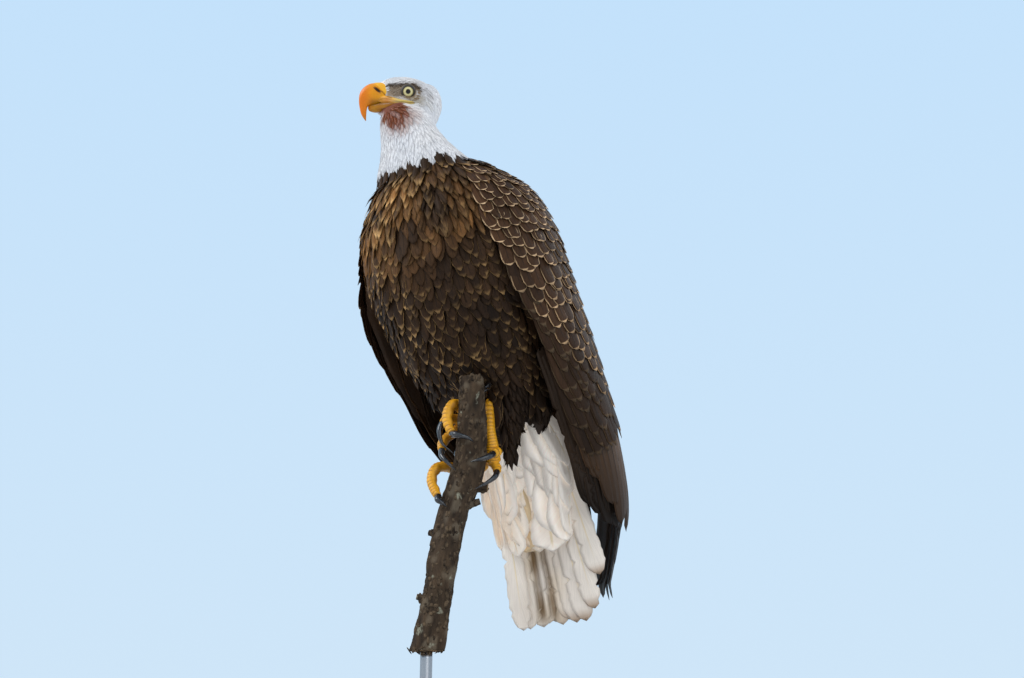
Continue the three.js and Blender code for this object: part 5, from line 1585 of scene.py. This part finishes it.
def flakesOver(piece):  # small curled flakes of bark set over the branch, as one plain mesh
    group = bpy.data.node_groups.new("bark flakes", "GeometryNodeTree")
    for label, kind, way in (
        ("Geometry", "Geometry", "INPUT"), ("Density", "Float", "INPUT"), ("Size", "Float", "INPUT"),
        ("Seed", "Int", "INPUT"), ("Geometry", "Geometry", "OUTPUT"),
    ):
        group.interface.new_socket(label, in_out=way, socket_type="NodeSocket" + kind)
    tree = Nodes(group)
    geometry, density, size, seed = (
        tree.add("NodeGroupInput", output=label) for label in ("Geometry", "Density", "Size", "Seed")
    )
    inputs = {"Mesh": geometry, "Density": density, "Seed": seed}
    points = tree.add("GeometryNodeDistributePointsOnFaces", None, inputs, "Points")
    flake = tree.add("GeometryNodeMeshIcoSphere", None, {"Subdivisions": 1, "Radius": 1.0}, "Mesh")
    inputs = {0: (0.35, 0.3, 0.1), 1: (0.75, 1.5, 0.2), "Seed": seed}  # least and most stretch
    stretch = tree.add("FunctionNodeRandomValue", {"data_type": "FLOAT_VECTOR"}, inputs)
    stretch = tree.add("ShaderNodeVectorMath", {"operation": "SCALE"}, {0: stretch, "Scale": size})
    inputs = {"Rotation": points.beside("Rotation"), "Vector": (0.1, 0, 1)}  # long side up the branch
    turn = tree.add("FunctionNodeAlignRotationToVector", {"axis": "Y", "pivot_axis": "Z"}, inputs, "Rotation")
    inputs = {"Points": points, "Instance": flake, "Rotation": turn, "Scale": stretch}
    placed = tree.add("GeometryNodeInstanceOnPoints", None, inputs, "Instances")
    real = tree.add("GeometryNodeRealizeInstances", None, {"Geometry": placed}, "Geometry")
    inputs = {"Geometry": real, "Material": flakeShader.material}
    tree.add("NodeGroupOutput", None, {"Geometry": tree.add("GeometryNodeSetMaterial", None, inputs, "Geometry")})
    flakes = bpy.data.objects.new("bark_flakes", piece.data.copy())
    scene.collection.objects.link(flakes)
    modifier = flakes.modifiers.new("flakes", "NODES")
    modifier.node_group = group
    for socket in group.interface.items_tree:
        if socket.in_out == "INPUT" and socket.name.lower() in flakeLook:
            modifier[socket.identifier] = flakeLook[socket.name.lower()]
    return evaluated(flakes)


flakes = flakesOver(perch)
flakes.data.shade_smooth()
finishPiece(flakes, flakeShader, "bark")

print("stand")
standLook = {
    "radius": 185, "thick": 22, "chamfer": 2.2, "sides": 128, "wood": paint(70, 48, 34),
    "woodDark": paint(48, 32, 23), "woodPale": paint(96, 66, 44), "rod": 8.0, "collar": 15, "rodSides": 48,
    "steel": paint(170, 170, 172),
}
wide, thick, c = standLook["radius"], standLook["thick"], standLook["chamfer"]
profile = np.array([
    (0.5, 0), (wide - c, 0), (wide, c), (wide, thick - c), (wide - c * 0.3, thick - c * 0.3), (wide - c, thick),
    (0.5, thick),
])
a = around(standLook["sides"])
rings = np.stack([profile[:, 0:1] * np.cos(a), profile[:, 0:1] * np.sin(a), profile[:, 1:2] + 0 * a], -1)
verts, quads, tris = facedOut(*capped(rings))
base = makePiece("base", verts * mm, [quads, tris])
base.data.shade_flat()
woodShader = grained(
    "dark wood", standLook["wood"], scale=40.0, detail=5.0, stretch=(3, 0.25, 3), bump=0.15, deep=0.001,
    pair=(0.25, 0.75, standLook["woodDark"], standLook["woodPale"]), Roughness=0.38, Coat_Weight=0.25,
    Coat_Roughness=0.2,
)
finishPiece(base, woodShader, "stand_base", "stand_base")

collar, size = standLook["collar"], standLook["rod"]
rodHeights = [22.3, 22.4, 29, 29.4, 29.5, 60, 100, 140, 149.8]  # from the collar up to the branch
rodLine = [[branch[0, 0], branch[0, 1], z] for z in rodHeights]
radii = [collar - 0.6, collar, collar, collar - 0.6, size, size, size, size, size]
verts, quads, tris = tube(rodLine, radii, [0, 1, 0], standLook["rodSides"])
rodShader = Shader("brushed steel", standLook["steel"], Metallic=1.0)
brush = rodShader.noise(rodShader.place((60, 60, 900)), 1.0, 2.0)
rodShader.give(Roughness=brush * 0.2 + 0.25)
finishPiece(makePiece("rod", verts * mm, [quads, tris]), rodShader, "stand_rod", "stand_rod")

print("floor, light and camera")
stageLook = {
    "floor": paint(204, 211, 218), "floorRadius": 90, "floorSides": 64, "floorLow": 0.0005,
    "sky": [(0.0, paint(208, 230, 248)), (0.7, paint(192, 224, 252))],
    "light": (0.97, 0.985, 1.0), "lightStrength": 0.84, "aimHeight": 0.6,
    "lamps": [  # name, place, size, power
        ("key", (-1.6, -2.4, 2.6), 2.0, 54), ("fill", (2.8, -1.4, 1.4), 2.6, 22), ("rim", (1.0, 2.6, 2.4), 1.8, 26),
    ],
    "camera": (1.13312, -1.28041, 0.030), "seen": (0, 0.070, 0.613), "lens": 43.5, "sensor": 36,
}
a = around(stageLook["floorSides"])
rim = np.stack([np.cos(a), np.sin(a), 0 * a], -1) * stageLook["floorRadius"] - [0, 0, stageLook["floorLow"]]
floor = makePiece("floor", rim, [np.arange(len(a))[None]])
floorShader = Shader("pale floor", stageLook["floor"], Roughness=0.9)
floor.data.materials.append(floorShader.material)

world = bpy.data.worlds.new("pale sky")
scene.world = world
world.use_nodes = True
sky = Nodes(world.node_tree)
up = sky.add("ShaderNodeSeparateXYZ", None, {0: sky.add("ShaderNodeTexCoord", output="Generated")}, 2)
blue = sky.add("ShaderNodeValToRGB", {"stops": stageLook["sky"]}, {0: up})
ray = sky.add("ShaderNodeLightPath", output="Is Camera Ray")
shown = ray.most(ray.beside("Is Glossy Ray")).most(ray.beside("Is Transmission Ray"))
seen = sky.add("ShaderNodeBackground", None, {0: blue})
light = sky.add("ShaderNodeBackground", None, {0: stageLook["light"], 1: stageLook["lightStrength"]})
either = sky.add("ShaderNodeMixShader", None, {0: shown, 1: light, 2: seen})
sky.add("ShaderNodeOutputWorld", None, {0: either})


def aimed(thing, place, target):  # stands at a place and looks at another
    thing.location = place
    thing.rotation_euler = (Vector(target) - Vector(place)).to_track_quat("-Z", "Y").to_euler()
    scene.collection.objects.link(thing)


for name, place, size, power in stageLook["lamps"]:
    lamp = bpy.data.lights.new(name, "AREA")
    lamp.shape, lamp.size, lamp.energy = "DISK", size, power
    aimed(bpy.data.objects.new(name, lamp), place, (0, 0, stageLook["aimHeight"]))
camera = bpy.data.objects.new("camera", bpy.data.cameras.new("camera"))
camera.data.lens, camera.data.sensor_width = stageLook["lens"], stageLook["sensor"]
aimed(camera, stageLook["camera"], stageLook["seen"])
scene.camera = camera
scene.view_settings.view_transform = "Standard"
